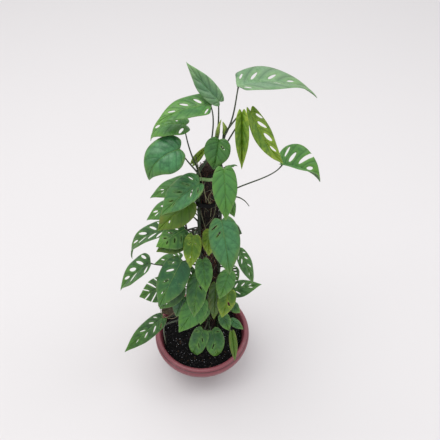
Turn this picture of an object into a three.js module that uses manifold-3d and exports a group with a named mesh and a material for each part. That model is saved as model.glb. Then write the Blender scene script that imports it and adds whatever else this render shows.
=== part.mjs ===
// A monstera adansonii climbing a coir pole in a round plastic pot.
// Millimetres, +Z up. The origin is the centre of the pot's flat underside; -Y is the front.
import * as THREE from 'three'
import { mergeVertices } from 'three/addons/utils/BufferGeometryUtils.js'
import Module from 'manifold-3d'

const wasm = await Module()
wasm.setup()

// ---------------------------------------------------------------- driving dimensions

const GAP = 0.35 // between pieces that rest on each other

const POT_HEIGHT = 140
const POT_BASE_RADIUS = 70
const POT_RIM_RADIUS = 131 // of the plain ring, the widest part
const POT_LIP_RADIUS = 127 // of the rolled lip over it
const POT_MOUTH_RADIUS = 115
const POT_WALL = 3
const POT_FLOOR = 6
const POT_BAND = 30 // height of the ring and the lip together
const POT_FLARE = 40 // how much wider the body is under the rim band than at its foot
const POT_EDGE = 1.5 // rounding of the rim's edges
const GROOVE_LEVEL = 131.5 // between the ring and the lip
const GROOVE_RADIUS = 124
const POT_SIDES = 28
const DRAIN_HOLES = 6
const DRAIN_RADIUS = 5
const DRAIN_CIRCLE = 45

const SOIL_LEVEL = 115
const SOIL_LUMPS = 2.5
const SOIL_HOLE_DEPTH = 60 // how far stems stand in the soil

const POLE_RADIUS = 21
const POLE_CORE_RADIUS = 12
const POLE_X = 19 // axis at soil level
const POLE_Y = 20
const POLE_TOP = 735
const POLE_FOOT = 12
const POLE_DRIFT = 10 / 620 // sideways lean to +X for each millimetre of height
const POLE_SIDES = 16

const TIE_HEIGHT = 9
const TIE_LEVEL = 727
const TIE_THICKNESS = 1.6
const TIE_SIDES = 16 // round each thing that it holds

const STEM_RADIUS = 4
const STEM_SIDES = 6
const STEM_STEP = 60
const PETIOLE_SIDES = 5
const PETIOLE_STEPS = 4
const PETIOLE_FOOT_RADIUS = 1.7
const PETIOLE_TIP_RADIUS = 1.1
const ROOT_STEPS = 14
const ROOT_RADIUS = 2.6

const BACK_LEAVES = 8
const BACK_LOWEST = 245
const BACK_STEP = 54
const BACK_SEED = 5

const BLADE_THICKNESS = 0.8
const MIDRIB_DEPTH = 0.8 // how far the midrib stands out of the underside at the base

// ---------------------------------------------------------------- materials

const paint = (color, roughness) => new THREE.MeshStandardMaterial({ color, roughness, metalness: 0 })
const POT_PLASTIC = paint('#7d434b', 0.5)
const SOIL_PEAT = paint('#2a2320', 0.95)
const COIR = paint('#3b2a20', 0.95)
const STAKE = paint('#6d5a45', 0.8)
const TIE_GREEN = paint('#4f7a3a', 0.6)
const STEM_GREEN = paint('#55783a', 0.55)
const LEAF_COLOURS = {
  deep: paint('#2f5a36', 0.4),
  mid: paint('#3f7040', 0.4),
  blue: paint('#3b6a52', 0.35),
  light: paint('#6b9558', 0.45),
  young: paint('#86ab4a', 0.45),
  olive: paint('#5f7a2c', 0.45),
  dry: paint('#7c5c3c', 0.85),
}

// ---------------------------------------------------------------- solids

function toSolid(geometry) {
  const bare = new THREE.BufferGeometry()
  bare.setAttribute('position', geometry.getAttribute('position').clone())
  if (geometry.index) bare.setIndex(geometry.index)
  const merged = mergeVertices(bare, 1e-4)
  return new wasm.Manifold(new wasm.Mesh({
    numProp: 3,
    vertProperties: new Float32Array(merged.getAttribute('position').array),
    triVerts: new Uint32Array(merged.index.array),
  }))
}

function toGeometry(solid) {
  const mesh = solid.getMesh()
  const geometry = new THREE.BufferGeometry()
  geometry.setAttribute('position', new THREE.BufferAttribute(new Float32Array(mesh.vertProperties), 3))
  geometry.setIndex(new THREE.BufferAttribute(new Uint32Array(mesh.triVerts), 1))
  return geometry
}

function fuse(geometries) {
  return geometries.map(toSolid).reduce((whole, piece) => whole.add(piece))
}

// A closed tube through a list of rings, each ring a list of points in the same turn.
function loft(rings) {
  const sides = rings[0].length
  const points = [...rings.flat(), centreOf(rings[0]), centreOf(rings.at(-1))]
  const triangles = []
  for (let r = 0; r + 1 < rings.length; r++) {
    for (let s = 0; s < sides; s++) {
      const a = r * sides + s
      const b = r * sides + (s + 1) % sides
      triangles.push(a, b, b + sides, a, b + sides, a + sides)
    }
  }
  const foot = rings.length * sides
  for (let s = 0; s < sides; s++) {
    const next = (s + 1) % sides
    triangles.push(foot, next, s, foot + 1, foot - sides + s, foot - sides + next)
  }
  return meshOf(points, triangles)
}

function meshOf(points, triangles) {
  const geometry = new THREE.BufferGeometry().setFromPoints(points)
  geometry.setIndex(triangles)
  return geometry
}

function centreOf(ring) {
  return ring.reduce((sum, point) => sum.add(point), new THREE.Vector3()).divideScalar(ring.length)
}

function ringAround(centre, axis, radius, sides, side) {
  const u = side.clone().addScaledVector(axis, -side.dot(axis)).normalize()
  const v = new THREE.Vector3().crossVectors(axis, u)
  return Array.from({ length: sides }, (_, i) => {
    const turn = 2 * Math.PI * i / sides
    return centre.clone()
      .addScaledVector(u, radius * Math.cos(turn)).addScaledVector(v, radius * Math.sin(turn))
  })
}

// ---------------------------------------------------------------- the pot and what fills it

const ring = (...points) => points.map(([x, y]) => new THREE.Vector2(x, y))

function latheUp(profile) {
  const geometry = new THREE.LatheGeometry(profile, POT_SIDES)
  return geometry.rotateX(Math.PI / 2)
}

const BAND_FOOT = POT_HEIGHT - POT_BAND
const bodyRadius = (height) => POT_BASE_RADIUS + 2 + (height / BAND_FOOT) * POT_FLARE
const innerRadius = (height) => bodyRadius(height) - POT_WALL

function makePot() {
  const ringTop = GROOVE_LEVEL - POT_EDGE
  const profile = ring(
    [0, 0], [POT_BASE_RADIUS, 0], [bodyRadius(POT_EDGE), POT_EDGE],
    [bodyRadius(BAND_FOOT), BAND_FOOT - POT_EDGE],
    [POT_RIM_RADIUS - 2 * POT_EDGE, BAND_FOOT], [POT_RIM_RADIUS, BAND_FOOT + 2 * POT_EDGE],
    [POT_RIM_RADIUS, ringTop - 2 * POT_EDGE], [POT_RIM_RADIUS - POT_EDGE, ringTop],
    [GROOVE_RADIUS, GROOVE_LEVEL], [POT_LIP_RADIUS, GROOVE_LEVEL + 2 * POT_EDGE],
    [POT_LIP_RADIUS - POT_EDGE, POT_HEIGHT - POT_EDGE], [POT_LIP_RADIUS - 3 * POT_EDGE, POT_HEIGHT],
    [POT_MOUTH_RADIUS + 2 * POT_EDGE, POT_HEIGHT], [POT_MOUTH_RADIUS, POT_HEIGHT - 2 * POT_EDGE],
    [innerRadius(SOIL_LEVEL) + 1, SOIL_LEVEL + 6], [innerRadius(SOIL_LEVEL), SOIL_LEVEL],
    [innerRadius(POT_FLOOR), POT_FLOOR], [0, POT_FLOOR])
  let pot = toSolid(latheUp(profile))
  for (let i = 0; i < DRAIN_HOLES; i++) {
    const turn = 2 * Math.PI * i / DRAIN_HOLES
    const drill = new THREE.CylinderGeometry(DRAIN_RADIUS, DRAIN_RADIUS, 3 * POT_FLOOR, 10)
    drill.rotateX(Math.PI / 2)
    drill.translate(DRAIN_CIRCLE * Math.cos(turn), DRAIN_CIRCLE * Math.sin(turn), 0)
    pot = pot.subtract(toSolid(drill))
  }
  return toGeometry(pot)
}

// The soil's surface from the wall inwards: share of its radius, and height over its level.
const MOUND = [[0.88, 0], [0.66, 1], [0.42, 2], [0, 3]]
const SOIL_EDGE_DROP = 4
const soilLump = (x, y) =>
  SOIL_LUMPS * (Math.sin(x / 17 + 1) * Math.cos(y / 13) + 0.5 * Math.sin((x + y) / 7))

function makeSoil(stems) {
  const wall = (height) => innerRadius(height) - 2 * GAP
  const edge = SOIL_LEVEL - SOIL_EDGE_DROP
  const profile = ring(
    [0, POT_FLOOR + GAP], [wall(POT_FLOOR), POT_FLOOR + GAP], [wall(edge), edge],
    ...MOUND.map(([share, rise]) => [wall(SOIL_LEVEL) * share, SOIL_LEVEL + rise]))
  const geometry = latheUp(profile)
  const place = geometry.getAttribute('position')
  for (let i = 0; i < place.count; i++) {
    const z = place.getZ(i)
    if (z >= SOIL_LEVEL) place.setZ(i, z + soilLump(place.getX(i), place.getY(i)))
  }
  let soil = toSolid(geometry)
  soil = soil.subtract(toSolid(poleCylinder(POLE_RADIUS + GAP, POLE_FOOT - GAP, SOIL_LEVEL + 60)))
  for (const path of stems) {
    const below = path[0].clone().setZ(path[0].z - GAP)
    soil = soil.subtract(toSolid(stemTube([below, ...path], STEM_RADIUS + GAP)))
  }
  return toGeometry(soil)
}

// ---------------------------------------------------------------- the pole

const poleX = (z) => POLE_X + (z - SOIL_LEVEL) * POLE_DRIFT

function poleCylinder(radius, from, to) {
  const cylinder = new THREE.CylinderGeometry(radius, radius, to - from, POLE_SIDES)
  cylinder.rotateX(Math.PI / 2)
  cylinder.translate(0, 0, (from + to) / 2)
  return leanWithPole(cylinder)
}

function leanWithPole(geometry) {
  const place = geometry.getAttribute('position')
  for (let i = 0; i < place.count; i++) {
    place.setX(i, place.getX(i) + poleX(place.getZ(i)))
    place.setY(i, place.getY(i) + POLE_Y)
  }
  return geometry
}

function makePoleCore() {
  return poleCylinder(POLE_CORE_RADIUS, POLE_FOOT + 1, POLE_TOP + 3)
}

function makePoleCoir() {
  const sleeve = toSolid(poleCylinder(POLE_RADIUS, POLE_FOOT, POLE_TOP))
  return toGeometry(sleeve.subtract(toSolid(poleCylinder(POLE_CORE_RADIUS + GAP, 0, POLE_TOP + 50))))
}

// The outline of a band pulled tight round several circles, each [x, y, radius].
function tightOutline(circles, grow) {
  const points = circles.flatMap(([x, y, radius]) => Array.from({ length: TIE_SIDES }, (_, i) => {
    const turn = 2 * Math.PI * i / TIE_SIDES
    return [x + (radius + grow) * Math.cos(turn), y + (radius + grow) * Math.sin(turn)]
  }))
  points.sort((a, b) => a[0] - b[0] || a[1] - b[1])
  const turns = (a, b, c) => (b[0] - a[0]) * (c[1] - a[1]) - (b[1] - a[1]) * (c[0] - a[0])
  const chain = (list) => list.reduce((kept, point) => {
    while (kept.length > 1 && turns(kept.at(-2), kept.at(-1), point) <= 0) kept.pop()
    return [...kept, point]
  }, [])
  return [...chain(points).slice(0, -1), ...chain(points.toReversed()).slice(0, -1)]
}

function makeTie() {
  const circles = [[poleX(TIE_LEVEL), POLE_Y, POLE_RADIUS + GAP]]
  for (const stem of [STEMS.right, STEMS.left]) {
    const { x, y } = pointAt(stem, TIE_LEVEL)
    circles.push([x, y, STEM_RADIUS + GAP])
  }
  const band = new THREE.Shape(ring(...tightOutline(circles, TIE_THICKNESS)))
  band.holes.push(new THREE.Path(ring(...tightOutline(circles, GAP / 2))))
  const geometry = new THREE.ExtrudeGeometry(band, { depth: TIE_HEIGHT, bevelEnabled: false })
  return geometry.translate(0, 0, TIE_LEVEL - TIE_HEIGHT / 2)
}

// A stem's centre where it climbs the pole, at a height and an angle round it (0 is +X, -90 the front).
function byPole(angle, z) {
  const turn = THREE.MathUtils.degToRad(angle)
  const reach = POLE_RADIUS + STEM_RADIUS + 2 * GAP
  return new THREE.Vector3(poleX(z) + reach * Math.cos(turn), POLE_Y + reach * Math.sin(turn), z)
}

// ---------------------------------------------------------------- stems

function climb(points) {
  const path = []
  for (const [from, to] of points.slice(1).map((to, i) => [points[i], to])) {
    const steps = Math.max(1, Math.round((to.z - from.z) / STEM_STEP))
    for (let i = 0; i < steps; i++) path.push(from.clone().lerp(to, i / steps))
  }
  path.push(points.at(-1))
  return path
}

const at = (x, y, z) => new THREE.Vector3(x, y, z)
const STEM_FOOT = SOIL_LEVEL - SOIL_HOLE_DEPTH
const STEMS = {
  right: climb([byPole(-25, STEM_FOOT), byPole(-20, 742), at(48, 2, 790), at(56, 5, 820), at(60, 7, 850)]),
  left: climb([byPole(-150, STEM_FOOT), byPole(-145, 742), at(24, -2, 775), at(40, 0, 805), at(47, 5, 845)]),
  back: climb([byPole(80, STEM_FOOT), byPole(95, 640)]),
  low: climb([byPole(-92, STEM_FOOT), byPole(-92, 330)]),
}

function pointAt(path, z) {
  const i = Math.max(1, path.findIndex((point) => point.z >= z))
  return path[i - 1].clone().lerp(path[i], (z - path[i - 1].z) / (path[i].z - path[i - 1].z))
}

function stemTube(path, radius) {
  const last = path.length - 1
  const rings = path.map((point, i) => {
    const axis = path[Math.min(i + 1, last)].clone().sub(path[Math.max(i - 1, 0)]).normalize()
    return ringAround(point, axis, i === last ? radius / 2 : radius, STEM_SIDES, at(1, 0, 0))
  })
  return loft(rings)
}

// ---------------------------------------------------------------- the leaf blade

// Half a blade is split by its side veins. Each row: where the vein leaves the midrib, and where it
// meets the margin, along the blade and out from the midrib, as shares of its length and width. The
// lobe is how far the base reaches back past the petiole, and it is negative on a blade cut blunt.
const sideVeins = (lobe) => [
  [0, -lobe, 0.20],
  [0, 0.06, 0.42],
  [0.08, 0.27, 0.50],
  [0.24, 0.50, 0.455],
  [0.46, 0.71, 0.285],
  [0.70, 0.87, 0.115],
]
const VEIN_SWEEP = 1.4
const MIDRIB_SHARES = [0, 0.5, 1]
const HOLE_INNER = 0.16 // where a hole starts, as a share of the way from midrib to margin
const HOLE_INNER_AT_BASE = 0.34
const HOLE_LENGTH = 0.4
const HOLE_SPREAD = 0.15 // half a hole's width, as a share of the way between two veins
const HOLE_SHOULDERS = [0.28, 0.74] // where along it a hole is widest
const HOLE_OUTER = 0.88

function randomFrom(seed) {
  let state = seed * 7919 + 17
  return () => {
    state = (state * 1103515245 + 12345) % 2147483648
    return state / 2147483648
  }
}

// The flat outline of a blade with its holes: points as [x along, y out], and triangles. Chances of a
// hole, and of a hole that is open to the margin, are one number or a pair: right of the midrib, left.
function bladePattern({ lobe, holes, torn, size, seed }) {
  const veins = sideVeins(lobe)
  const random = randomFrom(seed)
  const chance = (value, side) => (Array.isArray(value) ? value[side > 0 ? 0 : 1] : value)
  const points = []
  const triangles = []
  const known = new Map()
  const point = (x, y) => {
    const key = `${x.toFixed(5)} ${y.toFixed(5)}`
    if (!known.has(key)) {
      known.set(key, points.length)
      points.push([x, y])
    }
    return known.get(key)
  }
  for (const side of [1, -1]) {
    const onVein = (row, v) => {
      const [root, x, y] = veins[row]
      return [root + (x - root) * v ** VEIN_SWEEP, y * v]
    }
    const spot = (row, u, v) => {
      const [ax, ay] = onVein(row, v)
      const [bx, by] = onVein(row + 1, v)
      return point(ax + (bx - ax) * u, side * (ay + (by - ay) * u))
    }
    const face = (...corners) => {
      for (let i = 1; i + 1 < corners.length; i++) {
        const [a, b, c] = [corners[0], corners[i], corners[i + 1]]
        if (a === b || b === c || a === c) continue
        triangles.push(side > 0 ? [a, b, c] : [a, c, b])
      }
    }
    for (let row = 0; row + 1 < veins.length; row++) {
      const [a0, a1, a2] = MIDRIB_SHARES.map((v) => spot(row, 0, v))
      const [b0, b1, b2] = MIDRIB_SHARES.map((v) => spot(row, 1, v))
      const cut = row >= 1 && row <= 4 && random() < chance(holes, side)
      const wide = (HOLE_SPREAD + 0.1 * random()) * size
      const inner = (row === 1 ? HOLE_INNER_AT_BASE : HOLE_INNER) + 0.08 * random()
      const outer = Math.min(HOLE_OUTER, inner + (HOLE_LENGTH + 0.16 * random()) * Math.sqrt(size))
      const open = random() < chance(torn, side)
      if (!cut) {
        face(a0, a1, b1, b0)
        face(a1, a2, b2, b1)
      } else if (open) {
        const [i1, i2] = [spot(row, 0.5 - wide * 0.6, inner + 0.1), spot(row, 0.5 + wide * 0.6, inner + 0.1)]
        const [n1, n2] = [spot(row, 0.5 - wide * 0.8, 1), spot(row, 0.5 + wide * 0.8, 1)]
        face(a1, a2, n1, i1)
        face(i2, n2, b2, b1)
        face(a0, a1, i1)
        face(a0, i1, i2, b0)
        face(b0, i2, b1)
      } else {
        const [near, far] = HOLE_SHOULDERS.map((share) => inner + (outer - inner) * share)
        const p0 = spot(row, 0.5, inner)
        const p1 = spot(row, 0.5 - wide, near)
        const p2 = spot(row, 0.5 - wide, far)
        const p3 = spot(row, 0.5, outer)
        const p4 = spot(row, 0.5 + wide, far)
        const p5 = spot(row, 0.5 + wide, near)
        face(a0, a1, p1)
        face(a1, p2, p1)
        face(a1, a2, p2)
        face(a2, p3, p2)
        face(a2, b2, p3)
        face(b2, p4, p3)
        face(b2, b1, p4)
        face(b1, p5, p4)
        face(b1, b0, p5)
        face(b0, p0, p5)
        face(b0, a0, p0)
        face(a0, p1, p0)
      }
    }
    const last = veins.length - 2
    const tip = point(1, 0)
    face(spot(last, 1, 0), spot(last, 1, 0.5), tip)
    face(spot(last, 1, 0.5), spot(last, 1, 1), tip)
  }
  return { points, triangles }
}

const direction = ([turn, rise]) => {
  const [a, b] = [THREE.MathUtils.degToRad(turn), THREE.MathUtils.degToRad(rise)]
  return at(Math.sin(a) * Math.cos(b), -Math.cos(a) * Math.cos(b), Math.sin(b))
}

const WAVES = 1.5 // along each margin
const HOOK_START = 0.55 // share of the length where a hooked tip starts to turn down

// The curved surface that a leaf's blade follows, as a function of x along it and y out from its midrib.
function bladeSurface(leaf) {
  const along = leaf.tip.clone().sub(leaf.base)
  const length = along.length()
  along.normalize()
  const facing = direction(leaf.face)
  const up = facing.clone().addScaledVector(along, -facing.dot(along)).normalize()
  const across = new THREE.Vector3().crossVectors(along, up)
  const fold = THREE.MathUtils.degToRad(leaf.fold)
  const bow = THREE.MathUtils.degToRad(leaf.curl) / (leaf.width / 2) || 1e-6
  const rib = (x) => {
    const hump = 4 * x * (1 - x)
    const slope = 4 * (1 - 2 * x)
    const end = Math.max(0, x - HOOK_START)
    const centre = leaf.base.clone().addScaledVector(along, length * x)
      .addScaledVector(up, length * (leaf.arch * hump - leaf.hook * end ** 2))
      .addScaledVector(across, leaf.bend * length * hump)
    const heading = along.clone().addScaledVector(up, leaf.arch * slope - 2 * leaf.hook * end)
      .addScaledVector(across, leaf.bend * slope).normalize()
    const top = up.clone().addScaledVector(heading, -up.dot(heading)).normalize()
      .applyAxisAngle(heading, THREE.MathUtils.degToRad(leaf.twist) * x)
    return { centre, heading, top, side: new THREE.Vector3().crossVectors(heading, top) }
  }
  const surface = (x, y) => {
    const { centre, top, side } = rib(x)
    const q = Math.abs(y) * leaf.width
    const out = (Math.sin(fold) - Math.sin(fold - bow * q)) / bow
    const ripple = Math.sin(2 * Math.PI * (WAVES * x + 0.25 * Math.sign(y)))
    const lift = (Math.cos(fold - bow * q) - Math.cos(fold)) / bow + leaf.wave * (2 * y) ** 2 * ripple
    return centre.addScaledVector(side, Math.sign(y) * out).addScaledVector(top, lift)
  }
  return { rib, surface, length }
}

function makeBlade(leaf) {
  const { points, triangles } = bladePattern(leaf)
  const { surface, rib } = bladeSurface(leaf)
  const middle = points.map(([x, y]) => surface(x, y))
  const normals = points.map(() => new THREE.Vector3())
  for (const [a, b, c] of triangles) {
    const normal = middle[b].clone().sub(middle[a]).cross(middle[c].clone().sub(middle[a]))
    for (const corner of [a, b, c]) normals[corner].add(normal)
  }
  const turned = normals[points.findIndex(([x, y]) => y === 0 && x > 0)].dot(rib(0.1).top) < 0 ? -1 : 1
  normals.forEach((normal) => normal.normalize().multiplyScalar(turned))
  const half = BLADE_THICKNESS / 2
  const upper = middle.map((place, i) => place.clone().addScaledVector(normals[i], half))
  const lower = middle.map((place, i) => {
    const [x, y] = points[i]
    const ridge = y === 0 ? MIDRIB_DEPTH * (1 - x) : 0
    return place.clone().addScaledVector(normals[i], -half - ridge)
  })
  const faces = turned > 0 ? triangles : triangles.map(([a, b, c]) => [a, c, b])
  const count = points.length
  const index = []
  const edges = new Map()
  for (const [a, b, c] of faces) {
    index.push(a, b, c, count + a, count + c, count + b)
    for (const [from, to] of [[a, b], [b, c], [c, a]]) {
      if (!edges.delete(`${to} ${from}`)) edges.set(`${from} ${to}`, [from, to])
    }
  }
  for (const [from, to] of edges.values()) index.push(from, count + from, count + to, from, count + to, to)
  return meshOf([...upper, ...lower], index)
}

const PETIOLE_SEAT = 2.5 // how far along the midrib a petiole's end lies
const PETIOLE_BOW = 0.28 // share of its span over which it turns to meet the blade

function makePetiole(leaf) {
  const { rib, length } = bladeSurface(leaf)
  const { centre, heading, top } = rib(PETIOLE_SEAT / length)
  const below = leaf.sunk ? 0 : BLADE_THICKNESS / 2 + MIDRIB_DEPTH + GAP
  const end = centre.clone().addScaledVector(top, -below)
  const foot = pointAt(STEMS[leaf.stem], leaf.from)
  const span = end.distanceTo(foot)
  const outward = end.clone().sub(foot).setZ(0).normalize()
  const rise = at(0, 0, 1).addScaledVector(outward, leaf.spread).normalize()
  const entry = top.clone().multiplyScalar(0.9).addScaledVector(heading, 0.4).add(at(0, 0, 0.3)).normalize()
  const curve = new THREE.CubicBezierCurve3(foot, foot.clone().addScaledVector(rise, span * leaf.lift),
    end.clone().addScaledVector(entry, -span * PETIOLE_BOW), end)
  const rings = []
  for (let i = 0; i <= PETIOLE_STEPS; i++) {
    const share = i / PETIOLE_STEPS
    const axis = i === PETIOLE_STEPS ? top : curve.getTangent(share)
    const radius = PETIOLE_FOOT_RADIUS + (PETIOLE_TIP_RADIUS - PETIOLE_FOOT_RADIUS) * share
    rings.push(ringAround(curve.getPoint(share), axis, radius, PETIOLE_SIDES, at(0.3, 0.9, 0.2)))
  }
  return loft(rings)
}

// An aerial root that left its stem, ran out over the soil and turned down beside the pot's wall.
const ROOT_PATH = [
  pointAt(STEMS.left, 225), at(-35, -28, 250), at(-70, -42, 252), at(-93, -45, 240),
  at(-98, -44, 200), at(-99, -40, 160), at(-100, -36, SOIL_LEVEL + 6),
]

function makeAerialRoot() {
  const curve = new THREE.CatmullRomCurve3(ROOT_PATH)
  const rings = []
  for (let i = 0; i <= ROOT_STEPS; i++) {
    const share = i / ROOT_STEPS
    const radius = ROOT_RADIUS * (1 - share / 2)
    const axis = curve.getTangent(share)
    rings.push(ringAround(curve.getPoint(share), axis, radius, PETIOLE_SIDES, at(0.2, 1, 0.1)))
  }
  return loft(rings)
}

// ---------------------------------------------------------------- the leaves, one line each

const USUAL = {
  arch: 0.06, hook: 0, fold: 12, curl: 30, twist: 0, bend: 0, wave: 1.5,
  lobe: 0.06, holes: 0.6, torn: 0, size: 1, lift: 0.35, spread: 0.6, sunk: false,
}
const LEAVES = []

// stem, height where the petiole leaves it, base, tip, width, colour, [way the face looks: turn, rise],
// more. A turn of 0 is the front and 90 the right. A leaf's number is the seed of its holes, unless
// `more` gives it another one.
function leaf(stem, from, base, tip, width, colour, face, more = {}) {
  const seed = LEAVES.length + 1
  const name = `leaf_${String(seed).padStart(2, '0')}`
  const made = { name, stem, from, base: at(...base), tip: at(...tip), width, colour, face, seed }
  LEAVES.push({ ...USUAL, ...made, ...more })
}

// the crown, above the pole
leaf('right', 830, [78, 10, 933], [222, 35, 900], 92, 'light', [180, 79],
  { arch: 0.1, hook: 0.25, fold: 14, curl: 10, holes: [0.5, 1], size: 0.6, lobe: -0.03 })
leaf('left', 825, [49, 10, 902], [-9, 65, 946], 31, 'light', [25, 25],
  { fold: 10, holes: 0, hook: 0.25, lobe: 0.05, bend: -0.04, arch: 0.08, twist: -60, curl: 20 })
leaf('left', 780, [36, 12, 894], [-63, -15, 870], 56, 'mid', [0, 85],
  { fold: 12, curl: 15, holes: [1, 0.3], size: 0.8, lobe: -0.02, bend: 0.06 })
leaf('left', 745, [-11, 18, 845], [-78, 10, 814], 68, 'mid', [180, 87], { arch: 0.25, holes: 0.3 })
leaf('left', 738, [-21, -25, 826], [-83, -58, 781], 72, 'blue', [-20, 45],
  { arch: 0.12, hook: 1, curl: 45, holes: 0, bend: 0.1 })
leaf('left', 790, [49, -13, 837], [38, -34, 783], 48, 'deep', [0, 40],
  { holes: 0.2, size: 0.6, fold: 25 })
leaf('right', 745, [57, -44, 795], [61, -87, 702], 46, 'mid', [10, 40], { holes: 0.2, size: 0.7 })
leaf('right', 690, [60, 0, 756], [84, 15, 748], 26, 'deep', [180, 41], { holes: 0 })
leaf('right', 835, [86, -30, 909], [88, -60, 808], 29, 'young', [0, 20], { fold: 50, holes: 0 })
leaf('right', 790, [102, -8, 895], [164, -38, 802], 40, 'young', [50, 50],
  { bend: 0.12, twist: 15, fold: 25, holes: [0.1, 1], size: 1.2 })
leaf('right', 660, [165, 0, 765], [247, -10, 739], 90, 'mid', [180, 85],
  { fold: 40, curl: 10, hook: 0.6, holes: [0.3, 1], torn: [0, 0.4], seed: 90 })
leaf('left', 742, [-3, 26, 743], [35, 30, 796], 16, 'young', [0, 50], { holes: 0, fold: 40 })
leaf('right', 640, [64, -2, 677], [80, -18, 633], 24, 'mid', [10, 40], { holes: 0 })

// the left side, from the top down
leaf('left', 650, [-14, 2, 716], [-90, -12, 685], 46, 'deep', [-30, 80], { holes: 0.5, size: 0.6 })
leaf('left', 690, [11, -30, 745], [-64, -60, 686], 68, 'blue', [-40, 75],
  { holes: 0.8, size: 0.6, fold: 28 })
leaf('left', 590, [-35, 2, 657], [-105, -8, 612], 50, 'deep', [-30, 85], { holes: 0.8 })
leaf('left', 560, [-65, -10, 585], [-155, -25, 510], 60, 'deep', [180, 82],
  { arch: 0.14, hook: 0.5, holes: [1, 0.6], size: 1.2, fold: 25 })
leaf('left', 625, [-9, -25, 690], [-76, -55, 634], 62, 'olive', [-20, 50], { holes: 0.15, size: 0.6 })
leaf('left', 570, [-23, -33, 614], [-83, -60, 588], 66, 'mid', [-10, 60],
  { fold: -15, holes: 0.5, size: 0.7 })
leaf('left', 500, [-28, -10, 556], [-88, -40, 545], 50, 'olive', [-10, 60], { holes: 0.2, size: 0.7 })
leaf('left', 400, [-108, -20, 481], [-185, -45, 402], 70, 'deep', [-85, 50],
  { fold: 28, holes: [1, 0.8], size: 1.2, lift: 0.5, lobe: 0.03 })
leaf('left', 420, [-43, 20, 441], [-109, 18, 421], 50, 'deep', [180, 82], { holes: 0.8 })
leaf('left', 310, [-78, -3, 358], [-153, -13, 324], 66, 'deep', [-20, 70],
  { torn: 1, holes: 1, size: 0.7 })
leaf('left', 330, [-42, -28, 396], [-98, -55, 334], 52, 'deep', [-30, 60], { holes: 0.3, size: 0.7 })

// the front, from the top down
leaf('right', 590, [53, -40, 649], [71, -90, 531], 64, 'blue', [10, 30], { holes: [0.4, 0], size: 0.7 })
leaf('left', 550, [-4, -50, 612], [-13, -80, 540], 38, 'young', [-5, 30], { holes: 0.35, size: 0.35 })
leaf('right', 540, [31, -36, 611], [26, -60, 557], 36, 'young', [-20, 30], { holes: 0 })
leaf('left', 450, [-36, -40, 509], [-91, -90, 398], 68, 'blue', [-20, 30],
  { holes: [0.7, 0.2], size: 0.6 })
leaf('right', 480, [12, -50, 530], [20, -90, 461], 38, 'mid', [10, 30], { holes: 0.2, size: 0.5 })
leaf('left', 430, [-22, -30, 480], [-32, -42, 425], 42, 'deep', [-20, 30], { holes: 0.8 })
leaf('right', 420, [70, -45, 478], [48, -70, 403], 42, 'mid', [0, 30], { holes: 0 })
leaf('left', 410, [1, -55, 473], [-11, -96, 364], 48, 'mid', [-10, 30], { holes: 0.3, size: 0.6 })
leaf('right', 390, [41, -33, 410], [34, -54, 282], 34, 'olive', [0, 25], { holes: 0 })
leaf('right', 345, [71, -42, 396], [54, -72, 322], 44, 'young', [10, 30], { holes: 0.1 })
leaf('left', 330, [16, -38, 350], [0, -64, 274], 34, 'mid', [0, 30], { holes: 0.1 })
leaf('left', 320, [5, -54, 377], [-51, -96, 294], 60, 'mid', [-20, 30], { holes: 0.1 })
leaf('left', 310, [-37, -36, 360], [-60, -50, 290], 44, 'blue', [-30, 30], { holes: 0, fold: 18 })

// the right side
leaf('right', 430, [94, -5, 501], [129, -25, 400], 34, 'deep', [40, 25], { holes: 0.6, size: 0.7 })
leaf('right', 360, [75, 10, 415], [95, 5, 370], 32, 'deep', [20, 40], { holes: 1 })
leaf('right', 290, [75, -5, 337], [155, 10, 346], 48, 'deep', [0, 88], { holes: 0.9, size: 0.8 })

// low shoots over the soil and the rim
leaf('left', 215, [-97, -45, 276], [-197, -100, 197], 46, 'deep', [-20, 60],
  { holes: [0.9, 0.4], size: 0.6 })
leaf('low', 200, [7, -66, 250], [-26, -95, 149], 48, 'mid', [-30, 35],
  { holes: 0.3, size: 0.7, hook: 1.1 })
leaf('low', 190, [29, -60, 237], [47, -95, 141], 54, 'mid', [30, 35],
  { holes: 0.3, size: 0.7, hook: 1 })
leaf('right', 240, [55, -50, 302], [74, -66, 247], 30, 'mid', [20, 30], { holes: 0 })
leaf('right', 165, [80, -74, 257], [89, -108, 162], 21, 'olive', [10, 30],
  { fold: 25, holes: 0, lift: 0.3 })
leaf('right', 160, [79, -22, 226], [113, -32, 194], 22, 'blue', [20, 60], { holes: 0 })
leaf('right', 170, [80, 20, 235], [105, 15, 200], 28, 'mid', [40, 50], { holes: 0 })
leaf('left', 235, [-49, -22, 301], [-110, -22, 262], 48, 'dry', [-20, 60],
  { name: 'dry_leaf', fold: 5, curl: 110, holes: 0, hook: 1, wave: 3 })

// The far side of the pole, where one shoot's leaves hang in two uneven ranks.
const vary = randomFrom(BACK_SEED)
for (let i = 0; i < BACK_LEAVES; i++) {
  const height = BACK_LOWEST + i * BACK_STEP + 20 * vary()
  const turn = 180 + (i % 2 ? -1 : 1) * (22 + 26 * vary())
  const out = direction([turn, 0])
  const base = at(poleX(height), POLE_Y, height).addScaledVector(out, 54 + 22 * vary())
  const tip = base.clone().addScaledVector(out, 15 + 40 * vary()).add(at(0, 0, -64 - 24 * vary()))
  leaf('back', height - 62, base.toArray(), tip.toArray(), 44 + 12 * vary(), 'deep', [turn, 35],
    { sunk: true, holes: 0.3, size: 0.8 })
}

// ---------------------------------------------------------------- the plant

const meshes = []
function add(name, geometry, material) {
  const mesh = new THREE.Mesh(geometry, material)
  mesh.name = name
  meshes.push(mesh)
}

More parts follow.
